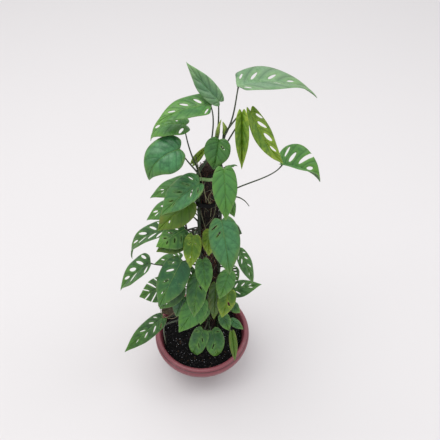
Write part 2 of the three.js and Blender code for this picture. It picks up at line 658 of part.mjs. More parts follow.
add('pot', makePot(), POT_PLASTIC)
add('soil', makeSoil(Object.values(STEMS)), SOIL_PEAT)
add('pole_core', makePoleCore(), STAKE)
add('pole_coir', makePoleCoir(), COIR)
add('pole_tie', makeTie(), TIE_GREEN)
for (const [name, path] of Object.entries(STEMS)) {
  const grown = [stemTube(path, STEM_RADIUS), ...LEAVES.filter((one) => one.stem === name).map(makePetiole)]
  if (name === 'left') grown.push(makeAerialRoot())
  grown.push(...LEAVES.filter((one) => one.stem === name && one.sunk).map(makeBlade))
  add(`stem_${name}`, toGeometry(fuse(grown)), STEM_GREEN)
}
for (const one of LEAVES.filter(({ sunk }) => !sunk)) add(one.name, makeBlade(one), LEAF_COLOURS[one.colour])

const plant = new THREE.Group()
plant.add(...meshes)
export default plant
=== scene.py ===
# %% [markdown]
# # A swiss cheese vine on its pole
#
# The plant is a climbing houseplant. Four shoots grow up a coir pole, and each leaf stands on its own
# stalk, heart-shaped and cut with long holes. The pot is a shallow plastic one with a rolled rim.
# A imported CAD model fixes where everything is. Here each piece gets the shape and finish that a
# flat-sided solid can't have. We load the model first, because every later piece is placed by it.

# %% Load the frame
import math

import bmesh
import bpy
import numpy as np
from mathutils import Matrix, Vector, noise


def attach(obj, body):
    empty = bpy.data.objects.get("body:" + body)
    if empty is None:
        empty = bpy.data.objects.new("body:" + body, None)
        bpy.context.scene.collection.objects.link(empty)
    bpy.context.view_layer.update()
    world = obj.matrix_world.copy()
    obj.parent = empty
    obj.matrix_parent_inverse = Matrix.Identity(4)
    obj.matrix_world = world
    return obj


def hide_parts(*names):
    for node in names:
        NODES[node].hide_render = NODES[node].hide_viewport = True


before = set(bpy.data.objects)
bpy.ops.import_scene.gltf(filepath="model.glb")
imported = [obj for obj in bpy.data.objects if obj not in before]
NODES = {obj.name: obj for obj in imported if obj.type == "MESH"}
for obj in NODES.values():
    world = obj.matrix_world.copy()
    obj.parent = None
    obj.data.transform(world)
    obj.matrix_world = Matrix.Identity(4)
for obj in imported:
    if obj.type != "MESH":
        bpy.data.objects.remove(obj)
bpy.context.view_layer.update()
MM = 0.001

# %% [markdown]
# ## The camera and the light
#
# The plant is seen from well above, so that the floor fills the view. A camera could be aimed with a
# constraint, but three numbers say it as well: where it stands, how far it looks down, and its lens.
# The light is a large soft box high overhead and a little to the left, a much weaker one on the right,
# and a pale sky that fills the shadows. A small lamp would put a hard bright spot on every leaf, while
# big lights give the wide, dull reflections that a waxy leaf shows.

# %% Camera
CAMERA_PLACE = Vector((0.050, -0.730, 1.450))
LOOK_DOWN = 49.2  # degrees under the horizon
LENS, SENSOR = 43.1, 36  # millimetres


def show(name, data):
    """A new object in the scene, with a camera, a lamp or a mesh in it."""
    made = bpy.data.objects.new(name, data)
    bpy.context.scene.collection.objects.link(made)
    return made


camera = show("camera", bpy.data.cameras.new("camera"))
camera.location = CAMERA_PLACE
camera.rotation_euler = (math.radians(90 - LOOK_DOWN), 0, 0)
camera.data.lens, camera.data.sensor_width = LENS, SENSOR
bpy.context.scene.camera = camera
print(f"camera {CAMERA_PLACE.z:.2f} m up, {LOOK_DOWN} degrees down, lens {LENS} mm")

# %% Lights
def soft_box(name, place, target, width, watts, colour):
    """A square area light that looks at a point."""
    light = bpy.data.lights.new(name, "AREA")
    light.size, light.energy, light.color = width, watts, colour
    lamp = show(name, light)
    lamp.location = place
    lamp.rotation_euler = (Vector(target) - Vector(place)).to_track_quat("-Z", "Y").to_euler()
    print(f"{name} light: {width} m wide, {watts} W")


POLE_UPPER_PART, PLANT_MIDDLE = (0, 0, 0.7), (0, 0, 0.5)
WARM, COOL = (1.0, 0.99, 0.97), (0.97, 0.98, 1.0)
soft_box("key", (-0.9, 0.1, 3.6), POLE_UPPER_PART, 2.4, 62, WARM)
soft_box("fill", (1.5, 0.2, 2.6), PLANT_MIDDLE, 1.0, 10, COOL)

# %% [markdown]
# ## Writing node maths as Python
#
# A material or a Geometry Nodes tree is a graph, and graphs are slow to read. So a small class wraps
# one socket and lets us write `1 - edge * 2`, which adds the Math nodes by itself. Vectors take the
# Vector Math node, and any other node comes from `node`, with its settings first and then its sockets.

# %% The wire class
def set_stops(ramp, stops):
    """Gives a colour ramp its stops, each of them a place and a colour."""
    while len(ramp.elements) < len(stops):
        ramp.elements.new(1)
    for element, (place, colour) in zip(ramp.elements, stops):
        element.position = place
        element.color = colour


class Wire:
    """One output socket of a node tree, which Python's arithmetic can be used on."""

    def __init__(self, tree, socket=None):
        self.tree = tree
        self.socket = socket

    def node(self, kind, settings=None, inputs=None, output=0):
        """One output of a new node in this wire's tree. An input is a wire or a plain value."""
        made = self.tree.nodes.new(kind)
        for name, value in (settings or {}).items():
            if name == "stops":
                set_stops(made.color_ramp, value)
            else:
                setattr(made, name, value)
        for name, value in (inputs or {}).items():
            if isinstance(value, Wire):
                self.tree.links.new(value.socket, made.inputs[name])
            else:
                made.inputs[name].default_value = value
        return Wire(self.tree, made.outputs[output])

    def out(self, name):
        """Another output of the same node."""
        return Wire(self.tree, self.socket.node.outputs[name])

    def math(self, operation, *others):
        return self.node("ShaderNodeMath", {"operation": operation}, dict(enumerate([self, *others])))

    def vector(self, operation, *others, output=0):
        values = dict(enumerate([self, *others]))
        return self.node("ShaderNodeVectorMath", {"operation": operation}, values, output)

    def pair(self, operation, first, second):
        """Arithmetic on two numbers, on two vectors, or on a vector and a number."""
        is_vector = [isinstance(one, tuple) or isinstance(one, Wire) and one.socket.type in ("VECTOR", "RGBA")
                     for one in (first, second)]
        if all(is_vector) or any(is_vector) and operation != "MULTIPLY":
            return self.node("ShaderNodeVectorMath", {"operation": operation}, {0: first, 1: second})
        if any(is_vector):
            vector, factor = (first, second) if is_vector[0] else (second, first)
            return self.node("ShaderNodeVectorMath", {"operation": "SCALE"}, {0: vector, "Scale": factor})
        return self.node("ShaderNodeMath", {"operation": operation}, {0: first, 1: second})

    def __add__(self, other):
        return self.pair("ADD", self, other)

    __radd__ = __add__

    def __sub__(self, other):
        return self.pair("SUBTRACT", self, other)

    def __rsub__(self, other):
        return self.pair("SUBTRACT", other, self)

    def __mul__(self, other):
        return self.pair("MULTIPLY", self, other)

    __rmul__ = __mul__

    def __truediv__(self, other):
        return self.pair("DIVIDE", self, other)

    def __pow__(self, power):
        return self.math("POWER", power)

    def band(self, low, high):
        """0 under low, 1 over high, and a smooth step between them."""
        settings = {"interpolation_type": "SMOOTHSTEP"}
        return self.node("ShaderNodeMapRange", settings, {"Value": self, "From Min": low, "From Max": high})

    def mix(self, under, over, blend="MIX"):
        """A colour between two, by this wire as the factor."""
        settings = {"data_type": "RGBA", "blend_type": blend}
        return self.node("ShaderNodeMix", settings, {0: self, 6: under, 7: over}, 2)


# %% [markdown]
# ## Colours
#
# A colour is picked on a screen, in sRGB, but nodes work in linear light. One helper turns a
# web colour into the numbers that a socket wants. Another starts a material and hands back a wire
# board and a function that sets the shader's sockets.

# %% Material helpers
def srgb(code):
    """A web colour such as '#3f7040' as linear red, green, blue and 1."""
    values = [int(code[i:i + 2], 16) / 255 for i in (1, 3, 5)]
    return (*[v / 12.92 if v <= 0.04045 else ((v + 0.055) / 1.055) ** 2.4 for v in values], 1.0)


def new_finish(name):
    """An empty material, a wire board in it, and a function that sets its shader's sockets."""
    material = bpy.data.materials.new(name)
    material.use_nodes = True
    shader = material.node_tree.nodes["Principled BSDF"]

    def set_sockets(**values):
        for label, value in values.items():
            socket = shader.inputs[label.replace("_", " ")]
            if isinstance(value, Wire):
                material.node_tree.links.new(value.socket, socket)
            else:
                socket.default_value = value

    return material, Wire(material.node_tree), set_sockets


def clouds(board, size, detail=3.0, stretch=(1, 1, 1), seed=0.0):
    """Smooth noise on Object coordinates, 0 to 1, whose blotches are about `size` metres wide."""
    here = board.node("ShaderNodeTexCoord", output="Object")
    placed = board.node("ShaderNodeMapping", inputs={0: here, "Scale": stretch, "Location": (seed, seed, 0)})
    return board.node("ShaderNodeTexNoise", inputs={"Vector": placed, "Scale": 1 / size, "Detail": detail})


def relief(board, height, depth, strength=1.0):
    """A bump for the Normal socket, from a height of 0 to 1 and a depth in metres."""
    return board.node("ShaderNodeBump", inputs={"Height": height, "Distance": depth, "Strength": strength})


# %% [markdown]
# ## The floor
#
# A plain pale sheet, which isn't part of the plant. The sky has the same tone, so
# the horizon hardly shows when the plant is seen from the side.

# %% Floor and sky
FLOOR_HALF = 7.0
floor_corners = [(x * FLOOR_HALF, y * FLOOR_HALF, 0) for x, y in ((-1, -1), (1, -1), (1, 1), (-1, 1))]
floor_mesh = bpy.data.meshes.new("floor")
floor_mesh.from_pydata(floor_corners, [], [(0, 1, 2, 3)])
floor = show("floor", floor_mesh)
floor_finish, _, set_floor = new_finish("pale floor")
set_floor(Base_Color=srgb("#dad8d9"), Roughness=0.9)
floor_mesh.materials.append(floor_finish)

SKY_COLOUR, SKY_STRENGTH = (1.0, 0.99, 1.0, 1), 0.82
sky = bpy.data.worlds.new("sky")
sky.use_nodes = True
background = sky.node_tree.nodes["Background"].inputs
background["Color"].default_value = SKY_COLOUR
background["Strength"].default_value = SKY_STRENGTH
bpy.context.scene.world = sky
bpy.context.scene.view_settings.view_transform = "Standard"
print(f"floor {2 * FLOOR_HALF:.0f} m wide, sky at {SKY_STRENGTH}")

# %% [markdown]
# ## Trees with named inputs
#
# Geometry Nodes shape the blades, the stems, the fibres and the soil. A tree is built once and used on
# many objects with other numbers. `plan` makes its inputs, `close_plan` ends it with Realize Instances
# and Set Material, and `settle` turns the evaluated result into a plain mesh that rides on the plant.

# %% Tree helpers
SOCKET_KINDS = {
    tuple: "NodeSocketVector", int: "NodeSocketInt", float: "NodeSocketFloat",
    type(None): "NodeSocketMaterial",
}


def plan(name, inputs):
    """A Geometry Nodes tree, and the wires that carry its named inputs."""
    tree = bpy.data.node_groups.new(name, "GeometryNodeTree")
    tree.interface.new_socket("Geometry", in_out="INPUT", socket_type="NodeSocketGeometry")
    tree.interface.new_socket("Geometry", in_out="OUTPUT", socket_type="NodeSocketGeometry")
    for label, value in {**inputs, "Material": None}.items():
        socket = tree.interface.new_socket(label, in_out="INPUT", socket_type=SOCKET_KINDS[type(value)])
        if value is not None:
            socket.default_value = value
    entry = tree.nodes.new("NodeGroupInput")
    return tree, {socket.name: Wire(tree, socket) for socket in entry.outputs if socket.name}


def close_plan(tree, wires, geometry):
    """Ends a tree: real geometry, smooth, with the material that the object asks for."""
    whole = geometry.node("GeometryNodeRealizeInstances", inputs={0: geometry})
    smooth = whole.node("GeometryNodeSetShadeSmooth", inputs={0: whole})
    painted = smooth.node("GeometryNodeSetMaterial", inputs={0: smooth, "Material": wires["Material"]})
    tree.links.new(painted.socket, tree.nodes.new("NodeGroupOutput").inputs[0])


def run_plan(maker, tree, values):
    """Adds the tree to an object. Inputs are set by their identifiers, before the first evaluation."""
    modifier = maker.modifiers.new(tree.name, "NODES")
    modifier.node_group = tree
    for item in tree.interface.items_tree:
        if item.in_out == "INPUT" and item.name in values:
            value = values[item.name]
            if item.socket_type == "NodeSocketFloat":
                value = float(value)
            modifier[item.identifier] = tuple(value) if isinstance(value, Vector) else value


def enlist(piece, slot, *nodes):
    """Makes an object a piece of the plant, which rides on it and stands for CAD nodes."""
    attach(piece, "root")
    if nodes:
        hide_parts(*nodes)
    return piece


def settle(maker, name, slot, *nodes):
    """The evaluated object as a plain mesh piece."""
    graph = bpy.context.evaluated_depsgraph_get()
    mesh = bpy.data.meshes.new_from_object(
        maker.evaluated_get(graph), preserve_all_data_layers=True, depsgraph=graph)
    bpy.data.objects.remove(maker)
    return enlist(show(name, mesh), slot, *nodes)


def write_attribute(mesh, name, values):
    """A number on each point, which a tree or a finish can read by its name."""
    mesh.attributes.new(name, "FLOAT", "POINT").data.foreach_set("value", np.asarray(values, np.float32))


# %% [markdown]
# ## The pot
#
# The pot is turned plastic: a flared wall, a lower ring, a groove and a rolled lip. A lathe shape could
# come from a Screw modifier, but a few lines of mesh code give clean quads and let us round each corner
# of the outline by its own amount. The six drain holes are cut with a Boolean.

# %% Pot outline
POT_HEIGHT, POT_BASE, POT_RIM, POT_LIP, POT_MOUTH = 140, 70, 131, 127, 115
POT_BAND, POT_FLARE, POT_WALL, POT_FLOOR = 30, 40, 3, 6
GROOVE_LEVEL, GROOVE_RADIUS = 131.5, 124
SOIL_LEVEL = 115
POT_SIDES = 112
BAND_FOOT = POT_HEIGHT - POT_BAND
FOOT_STEP = 2  # how far the wall stands out round the foot


def body_radius(height):
    """The wall's outer radius under the ring."""
    return POT_BASE + FOOT_STEP + height / BAND_FOOT * POT_FLARE


POT_OUTLINE = [  # radius, height and rounding in millimetres, from the middle of the foot to the floor
    (0, 0, 0), (POT_BASE, 0, 1.5), (body_radius(3), 3, 1),
    (body_radius(BAND_FOOT - 1.5), BAND_FOOT - 1.5, 0.8), (POT_RIM - 2, BAND_FOOT, 1.5),
    (POT_RIM, BAND_FOOT + 6, 6), (POT_RIM + 0.4, GROOVE_LEVEL - 8, 5),
    (POT_RIM - 1.5, GROOVE_LEVEL - 1.5, 2.4),
    (GROOVE_RADIUS, GROOVE_LEVEL, 1), (POT_LIP, GROOVE_LEVEL + 3, 2.4),
    (POT_LIP - 1, POT_HEIGHT - 1.5, 2), (POT_LIP - 5, POT_HEIGHT, 2),
    (POT_MOUTH + 3, POT_HEIGHT, 1.4), (POT_MOUTH, POT_HEIGHT - 4, 2),
    (body_radius(SOIL_LEVEL) - POT_WALL, SOIL_LEVEL, 2), (body_radius(POT_FLOOR) - POT_WALL, POT_FLOOR, 2),
    (0, POT_FLOOR, 0),
]


def round_outline(outline, steps=4, longest=0.45):
    """Puts a short curve for each corner, by its rounding, and by `longest` of a side at most."""
    corners = [Vector(point[:2]) for point in outline]
    path = [corners[0]]
    for i in range(1, len(corners) - 1):
        before, here, after = corners[i - 1:i + 2]
        reach = [min(outline[i][2], (other - here).length * longest) for other in (before, after)]
        start = here + (before - here).normalized() * reach[0]
        end = here + (after - here).normalized() * reach[1]
        for step in range(steps + 1):
            t = step / steps
            path.append(start * (1 - t) ** 2 + here * (2 * t * (1 - t)) + end * t ** 2)
    return [*path, corners[-1]]


# %% Turned shapes
def spoke(i, count):
    """The cosine and sine of one step of an even turn round a circle."""
    turn = 2 * math.pi * i / count
    return math.cos(turn), math.sin(turn)


def skin(form, rings):
    """Quads between rings of points that follow each other. A ring of one point is a pole."""
    for low, high in zip(rings, rings[1:]):
        count = max(len(low), len(high))
        for i in range(count):
            j = (i + 1) % count
            corners = [low[i % len(low)], low[j % len(low)], high[j % len(high)], high[i % len(high)]]
            form.faces.new(list(dict.fromkeys(corners)))


def mesh_from(form, name):
    """The mesh that a bmesh form was built for."""
    mesh = bpy.data.meshes.new(name)
    form.to_mesh(mesh)
    form.free()
    return mesh


def lathe(name, path, sides):
    """A closed body of revolution from an outline that starts and ends on the axis."""
    form = bmesh.new()
    rings = []
    for radius, height in path:
        around = [spoke(i, sides) for i in range(sides if radius > 1e-6 else 1)]
        rings.append([form.verts.new(MM * Vector((radius * x, radius * y, height))) for x, y in around])
    skin(form, rings)
    bmesh.ops.recalc_face_normals(form, faces=form.faces)
    return mesh_from(form, name)


# %% Pot finish
def pot_finish():
    """Brick-rose plastic: a little mottled, chalky where water has dried, with painted shade in the groove
    and on the lower ring and the wall under it, and darker on the inner wall just above the soil.
    """
    material, board, set_sockets = new_finish("terracotta plastic")
    here = board.node("ShaderNodeTexCoord", output="Object")
    height = board.node("ShaderNodeSeparateXYZ", inputs={0: here}).out("Z") / MM
    broad = clouds(board, 0.05)
    specks = clouds(board, 0.0012, 2.0)
    streaks = clouds(board, 0.012, 4.0, (1, 1, 0.15))
    rose = broad.mix(srgb("#74333c"), srgb("#8b4650"))
    # Painted shade: the groove, and the lower part of the ring with the wall under it, are darkened to the
    # shaded colour, where the rim shades them.
    groove = 1 - (height - GROOVE_LEVEL).math("ABSOLUTE").band(0.6, 2.6)
    foot = 1 - height.band(108, 122)
    shaded = (groove * 0.7).math("MAXIMUM", foot * 0.65).mix(rose, srgb("#54222a"))
    chalk = streaks.band(0.56, 0.74) * specks.band(0.35, 0.6) * 0.22
    dusty = chalk.mix(shaded, srgb("#b98f92"))
    radius = (here * (1, 1, 0)).vector("LENGTH", output=1) / MM
    inside = (height * (POT_FLARE / BAND_FOOT) + body_radius(0) - radius).band(1.2, 2.2)
    # Darker on the inner wall just above the soil.
    dark_above_soil = (1 - (height + broad * 8).band(SOIL_LEVEL + 4, SOIL_LEVEL + 14)) * inside
    set_sockets(
        Base_Color=(dark_above_soil * 0.8).mix(dusty, srgb("#2b1c18")),
        Roughness=0.36 + specks * 0.14 + chalk * 0.3,
        Normal=relief(board, specks * 0.6 + broad * 0.4, 0.00025, 0.5),
        Coat_Weight=0.2, Coat_Roughness=0.3,
    )
    return material


# %% Pot
pot_mesh = lathe("pot", round_outline(POT_OUTLINE), POT_SIDES)
pot_mesh.materials.append(pot_finish())
pot_maker = show("pot maker", pot_mesh)

DRAIN_HOLES, DRAIN_SIDES, SHARP_ANGLE = 6, 24, 40
DRAIN_RADIUS, DRAIN_CIRCLE, DRILL_LENGTH = 5 * MM, 45 * MM, 30 * MM
drill_form = bmesh.new()
for i in range(DRAIN_HOLES):
    x, y = spoke(i, DRAIN_HOLES)
    bmesh.ops.create_cone(
        drill_form, cap_ends=True, segments=DRAIN_SIDES, radius1=DRAIN_RADIUS, radius2=DRAIN_RADIUS,
        depth=DRILL_LENGTH, matrix=Matrix.Translation((DRAIN_CIRCLE * x, DRAIN_CIRCLE * y, 0)))
drill = show("drain drill", mesh_from(drill_form, "drain drill"))
cut = pot_maker.modifiers.new("drain holes", "BOOLEAN")
cut.operation, cut.object, cut.solver = "DIFFERENCE", drill, "EXACT"
pot = settle(pot_maker, "pot_shell", "pot_plastic", "pot")
bpy.data.objects.remove(drill)
pot.data.shade_smooth()
pot.data.set_sharp_from_angle(angle=math.radians(SHARP_ANGLE))
print(f"pot: {len(pot.data.polygons)} faces")

# %% [markdown]
# ## The soil
#
# Potting mix is dark crumbs with a few white grains of perlite and chips of bark. Modelling each one
# would take days, and a bump alone looks like felt. So Geometry Nodes scatter a faceted grain over the
# top faces of the soil's solid, with a fixed seed, and push its points about so no two are alike.

# %% Scatter tree
def spread_points(wires):
    """Seeded random points on the faces of the mesh that a tree is given."""
    return wires["Geometry"].node("GeometryNodeDistributePointsOnFaces", inputs={
        "Mesh": wires["Geometry"], "Density": wires["Density"], "Seed": wires["Seed"]})


def random_between(seed, low, high):
    """A random vector or number for each point, between two limits."""
    first, output, kind = (0, 0, "FLOAT_VECTOR") if isinstance(low, tuple) else (2, 1, "FLOAT")
    values = {first: low, first + 1: high, "Seed": seed}
    return seed.node("FunctionNodeRandomValue", {"data_type": kind}, values, output)


def set_out(points, shape, rotation, scale):
    """One copy of a shape on each point."""
    return points.node("GeometryNodeInstanceOnPoints", inputs={
        "Points": points, "Instance": shape, "Rotation": rotation, "Scale": scale})


FULL_TURN = 6.28
JUMBLE_SCALE = 700.0  # how fine the noise is that pushes the grains' points about


def grain_plan():
    tree, wires = plan("scatter grains", {
        "Density": 9000.0, "Size": 0.002, "Spread": 0.6, "Jumble": 0.0008, "Seed": 1})
    points, seed = spread_points(wires), wires["Seed"]
    grain = points.node("GeometryNodeMeshIcoSphere", inputs={"Radius": 1.0, "Subdivisions": 1})
    turn = random_between(seed, (0, 0, 0), (FULL_TURN, FULL_TURN, FULL_TURN))
    swell = random_between(seed + 7, (0.45, 0.45, 0.35), (1.5, 1.2, 0.9))
    size = wires["Size"] * (1 - wires["Spread"] * random_between(seed + 11, 0.0, 1.0))
    placed = set_out(points, grain, turn, swell * size)
    whole = placed.node("GeometryNodeRealizeInstances", inputs={0: placed})
    push = whole.node("ShaderNodeTexNoise", inputs={
        "Vector": whole.node("GeometryNodeInputPosition"), "Scale": JUMBLE_SCALE, "Detail": 1.0}, output=1)
    off = (push - (0.5, 0.5, 0.5)) * (wires["Jumble"] * 2)
    moved = whole.node("GeometryNodeSetPosition", inputs={0: whole, "Offset": off})
    close_plan(tree, wires, moved)
    return tree


GRAINS = grain_plan()
SOIL_DIP = 8  # how far the soil's top may lie under its level


def soil_top():
    """The upward faces of the soil's solid, as a merged copy."""
    form = bmesh.new()
    form.from_mesh(NODES["soil"].data)
    bmesh.ops.remove_doubles(form, verts=form.verts, dist=1e-6)
    lowest = (SOIL_LEVEL - SOIL_DIP) * MM
    hidden = [face for face in form.faces if face.normal.z < 0.4 or face.calc_center_median().z < lowest]
    bmesh.ops.delete(form, geom=hidden, context="FACES")
    return mesh_from(form, "soil top")


# %% Soil finishes
def crumb_finish(name, dark, light, rough):
    """Loose matter, which is darker and lighter from one crumb to the next."""
    material, board, set_sockets = new_finish(name)
    broad, fine = clouds(board, 0.006), clouds(board, 0.0015)
    set_sockets(
        Base_Color=(broad * 0.5 + fine * 0.5).band(0.35, 0.68).mix(srgb(dark), srgb(light)),
        Roughness=rough, Normal=relief(board, fine, 0.0006), Specular_IOR_Level=0.25)
    return material


SOIL_DARK = crumb_finish("damp peat", "#020203", "#0e0c0d", 0.9)
SOIL_LUMP = crumb_finish("dry peat", "#050506", "#2a2729", 0.85)
BARK = crumb_finish("bark chips", "#241a14", "#4d3828", 0.85)
PERLITE = crumb_finish("perlite", "#5a5c64", "#d6d8de", 0.8)


# %% Soil pieces
def scatter(name, slot, tree, mesh, finish, **values):
    """A piece that a tree makes on a copy of a mesh."""
    maker = show(name + " maker", mesh.copy())
    run_plan(maker, tree, {"Material": finish, **values})
    piece = settle(maker, name, slot)
    print(f"{name}: {len(piece.data.polygons)} faces")


def repaint(node, finish):
    """Gives a solid that stays in view a better finish."""
    NODES[node].data.materials.clear()
    NODES[node].data.materials.append(finish)


GRAIN_KINDS = {  # finish, grains to a square metre, size and jumble in millimetres, and seed
    "soil_crumbs": (SOIL_DARK, 90000, 2.6, 0.9, 3),
    "soil_lumps": (SOIL_LUMP, 7000, 5.5, 1.8, 8),
    "bark_chips": (BARK, 1800, 4.2, 1.2, 14),
    "perlite_grains": (PERLITE, 11000, 1.6, 0.5, 21),
}
repaint("soil", SOIL_DARK)
soil_surface = soil_top()
for name, (finish, density, size, jumble, seed) in GRAIN_KINDS.items():
    scatter(name, "soil", GRAINS, soil_surface, finish, Density=density, Size=size * MM,
            Jumble=jumble * MM, Seed=seed)

# %% [markdown]
# ## The coir pole
#
# A wooden stake in a sleeve of coconut fibre, almost black where it is damp. The sleeve is a leaning
# tube whose surface is pushed in and out by noise. Hair curves could make the fibres, but an export
# drops them. So a tree lays short arcs of real mesh on the tube: most lie along the pole, a few stick
# out, thicker bleached ones cross them, and a mat of them covers the cut end at the top.

# %% Sleeve
POLE_RADIUS, POLE_X, POLE_Y, POLE_TOP = 21, 19, 20, 735
POLE_DRIFT = 10 / 620
STAKE_HOLE = 12.3
SLEEVE_SIDES, SLEEVE_STEP = 72, 4


def pole_x(height):
    """Where the leaning pole's axis is at a height."""
    return POLE_X + (height - SOIL_LEVEL) * POLE_DRIFT


def swelling(around, z, across, along):
    """Noise on the pole's side. across says how fine it is round the pole, along how long, in mm."""
    return noise.noise(Vector((around.x * across, around.y * across, z / along)))


def sleeve_mesh():
    """The outside and the top face of the sleeve, down to the stake."""
    levels = np.arange(SOIL_LEVEL - 10, POLE_TOP, SLEEVE_STEP).tolist() + [POLE_TOP - 1, POLE_TOP]
    outline = [(POLE_RADIUS, z) for z in levels]
    outline += [(POLE_RADIUS - 2, POLE_TOP + 0.6), (STAKE_HOLE, POLE_TOP), (STAKE_HOLE, POLE_TOP - 8)]
    form = bmesh.new()
    rings = []
    for radius, z in outline:
        ring = []
        for i in range(SLEEVE_SIDES):
            around = Vector((*spoke(i, SLEEVE_SIDES), 0))
            rough = swelling(around, z, 4, 14) + 0.5 * swelling(around, z, 11, 5)
            reach = radius if radius == STAKE_HOLE else radius - 0.6 + 0.9 * rough
            ring.append(form.verts.new(MM * (around * reach + Vector((pole_x(z), POLE_Y, z)))))
        rings.append(ring)
    skin(form, rings)
    form.faces.new(rings[0][::-1])
    mesh = mesh_from(form, "coir sleeve")
    mesh.shade_smooth()
    return mesh


# %% Coir finishes
def coir_finish(name, dark, light, rough):
    """Matted brown fibre, with finer strands drawn along the pole."""
    material, board, set_sockets = new_finish(name)
    strands = clouds(board, 0.0018, 4.0, (1, 1, 0.12))
    crossing = clouds(board, 0.0022, 3.0, (1.4, 1.4, 0.7), 3.0)
    damp = clouds(board, 0.07, 2.0)
    weave = strands * 0.6 + crossing * 0.4
    fibre = weave.band(0.4, 0.64).mix(srgb(dark), srgb(light))
    set_sockets(
        Base_Color=(damp.band(0.42, 0.62) * 0.75).mix(fibre, srgb("#15100e"), "MULTIPLY"),
        Roughness=rough, Normal=relief(board, weave, 0.0012))
    return material


COIR = coir_finish("damp coir", "#070505", "#2c1712", 0.9)
FIBRE = coir_finish("loose coir", "#3a1610", "#9c5c44", 0.8)
STRAW = coir_finish("bleached strands", "#7c6c4c", "#cdbf94", 0.7)
repaint("pole_core", coir_finish("sawn stake", "#2c2018", "#5e4632", 0.8))
sleeve_source = sleeve_mesh()
sleeve = enlist(show("pole_sleeve", sleeve_source.copy()), "coir", "pole_coir")
sleeve.data.materials.append(COIR)
print(f"sleeve: {len(sleeve.data.polygons)} faces")


# %% Fibre tree
def fibre_plan():
    tree, wires = plan("lay fibres", {
        "Density": 30000.0, "Length": 0.016, "Thickness": 0.00018, "Lift": 0.0015, "Stray": 0.9, "Seed": 1})
    points, seed, stray = spread_points(wires), wires["Seed"], wires["Stray"]
    end = points.node("ShaderNodeCombineXYZ", inputs={0: wires["Length"] * 0.5, 2: 0.0005})
    middle = points.node("ShaderNodeCombineXYZ", inputs={1: wires["Length"] * 0.12, 2: wires["Lift"]})
    arc = points.node("GeometryNodeCurveQuadraticBezier", inputs={
        "Resolution": 4, "Start": end * -1.0, "Middle": middle, "End": end})
    section = points.node("GeometryNodeCurvePrimitiveCircle", inputs={
        "Resolution": 3, "Radius": wires["Thickness"]})
    strand = points.node("GeometryNodeCurveToMesh", inputs={"Curve": arc, "Profile Curve": section})
    spin = random_between(seed + 2, stray * -1.0, stray) + math.pi / 2
    tilt = points.node("ShaderNodeCombineXYZ", inputs={2: spin})
    turned = points.node("FunctionNodeRotateEuler", {"rotation_type": "EULER", "space": "LOCAL"}, {
        "Rotation": points.out("Rotation"), "Rotate By": tilt})
    stretch = random_between(seed + 5, (0.4, 0.5, 0.2), (1.4, 1.5, 1.6))
    close_plan(tree, wires, set_out(points, strand, turned, stretch))
    return tree


FIBRES = fibre_plan()

# %% Fibre pieces
MAT_LIFT, MAT_SHARE = 2.6, 0.8  # the mat of fibres lies over the pole's top and covers most of it
mat_place = Vector((pole_x(POLE_TOP), POLE_Y, POLE_TOP + MAT_LIFT))
mat_form = bmesh.new()
bmesh.ops.create_circle(
    mat_form, cap_ends=True, segments=24, radius=MAT_SHARE * POLE_RADIUS * MM,
    matrix=Matrix.Translation(MM * mat_place))
pole_end = mesh_from(mat_form, "pole top")
FIBRE_KINDS = {  # where, finish, fibres to a square metre, length, thickness and lift in mm, stray, seed
    "coir_fibres": (sleeve_source, FIBRE, 26000, 15, 0.36, 1.2, 0.7, 5),
    "coir_stray": (sleeve_source, FIBRE, 4000, 22, 0.16, 5, 1.6, 9),
    "top_fibres": (pole_end, FIBRE, 110000, 15, 0.4, 1.6, 3.1, 4),
    "pale_strands": (sleeve_source, STRAW, 1500, 30, 0.6, 2.6, 1.1, 12),
}
for name, (mesh, finish, density, length, thickness, lift, stray, seed) in FIBRE_KINDS.items():
    scatter(name, "coir", FIBRES, mesh, finish, Density=density, Length=length * MM,
            Thickness=thickness * MM, Lift=lift * MM, Stray=stray, Seed=seed)

# %% [markdown]
# ## The flat pattern of a leaf
#
# A blade is drawn flat first, in shares of its length and width. Six side veins leave the midrib on
# each side and sweep to the margin, and the panels between them carry the holes. A hole could be cut
# with a Boolean, but rings of quads round it keep the mesh even and its edge smooth. The chances and
# sizes follow the same seeded draws as the solids do, so a hole is where the solid has one.

# %% Blade pattern
PANELS = 6  # between the side veins, on each side of the midrib
VEIN_SWEEP = 1.4
ACROSS = np.linspace(0, 1, 7)
OUTWARD = np.array([0, 0.015, 0.04, 0.09, 0.17, 0.27, 0.38, 0.5, 0.62, 0.74, 0.85, 0.94, 1.0])
RINGS = [0, 0.14, 0.4, 0.7, 1]  # from a hole's edge to its panel's border
EGG = 0.22  # how much narrower a hole is at its outer end


def side_veins(lobe):
    """Where each vein leaves the midrib and where it meets the margin: along, and out."""
    return np.array([
        (0, -lobe, 0.20), (0, 0.06, 0.42), (0.08, 0.27, 0.50), (0.24, 0.50, 0.455),
        (0.46, 0.71, 0.285), (0.70, 0.87, 0.115), (1, 1, 0)])


def draws(seed):
    """The solids' own generator, in the same floating point, as an endless run of numbers."""
    state = float(seed * 7919 + 17)
    while True:
        state = math.fmod(state * 1103515245.0 + 12345.0, 2147483648.0)
        yield state / 2147483648.0


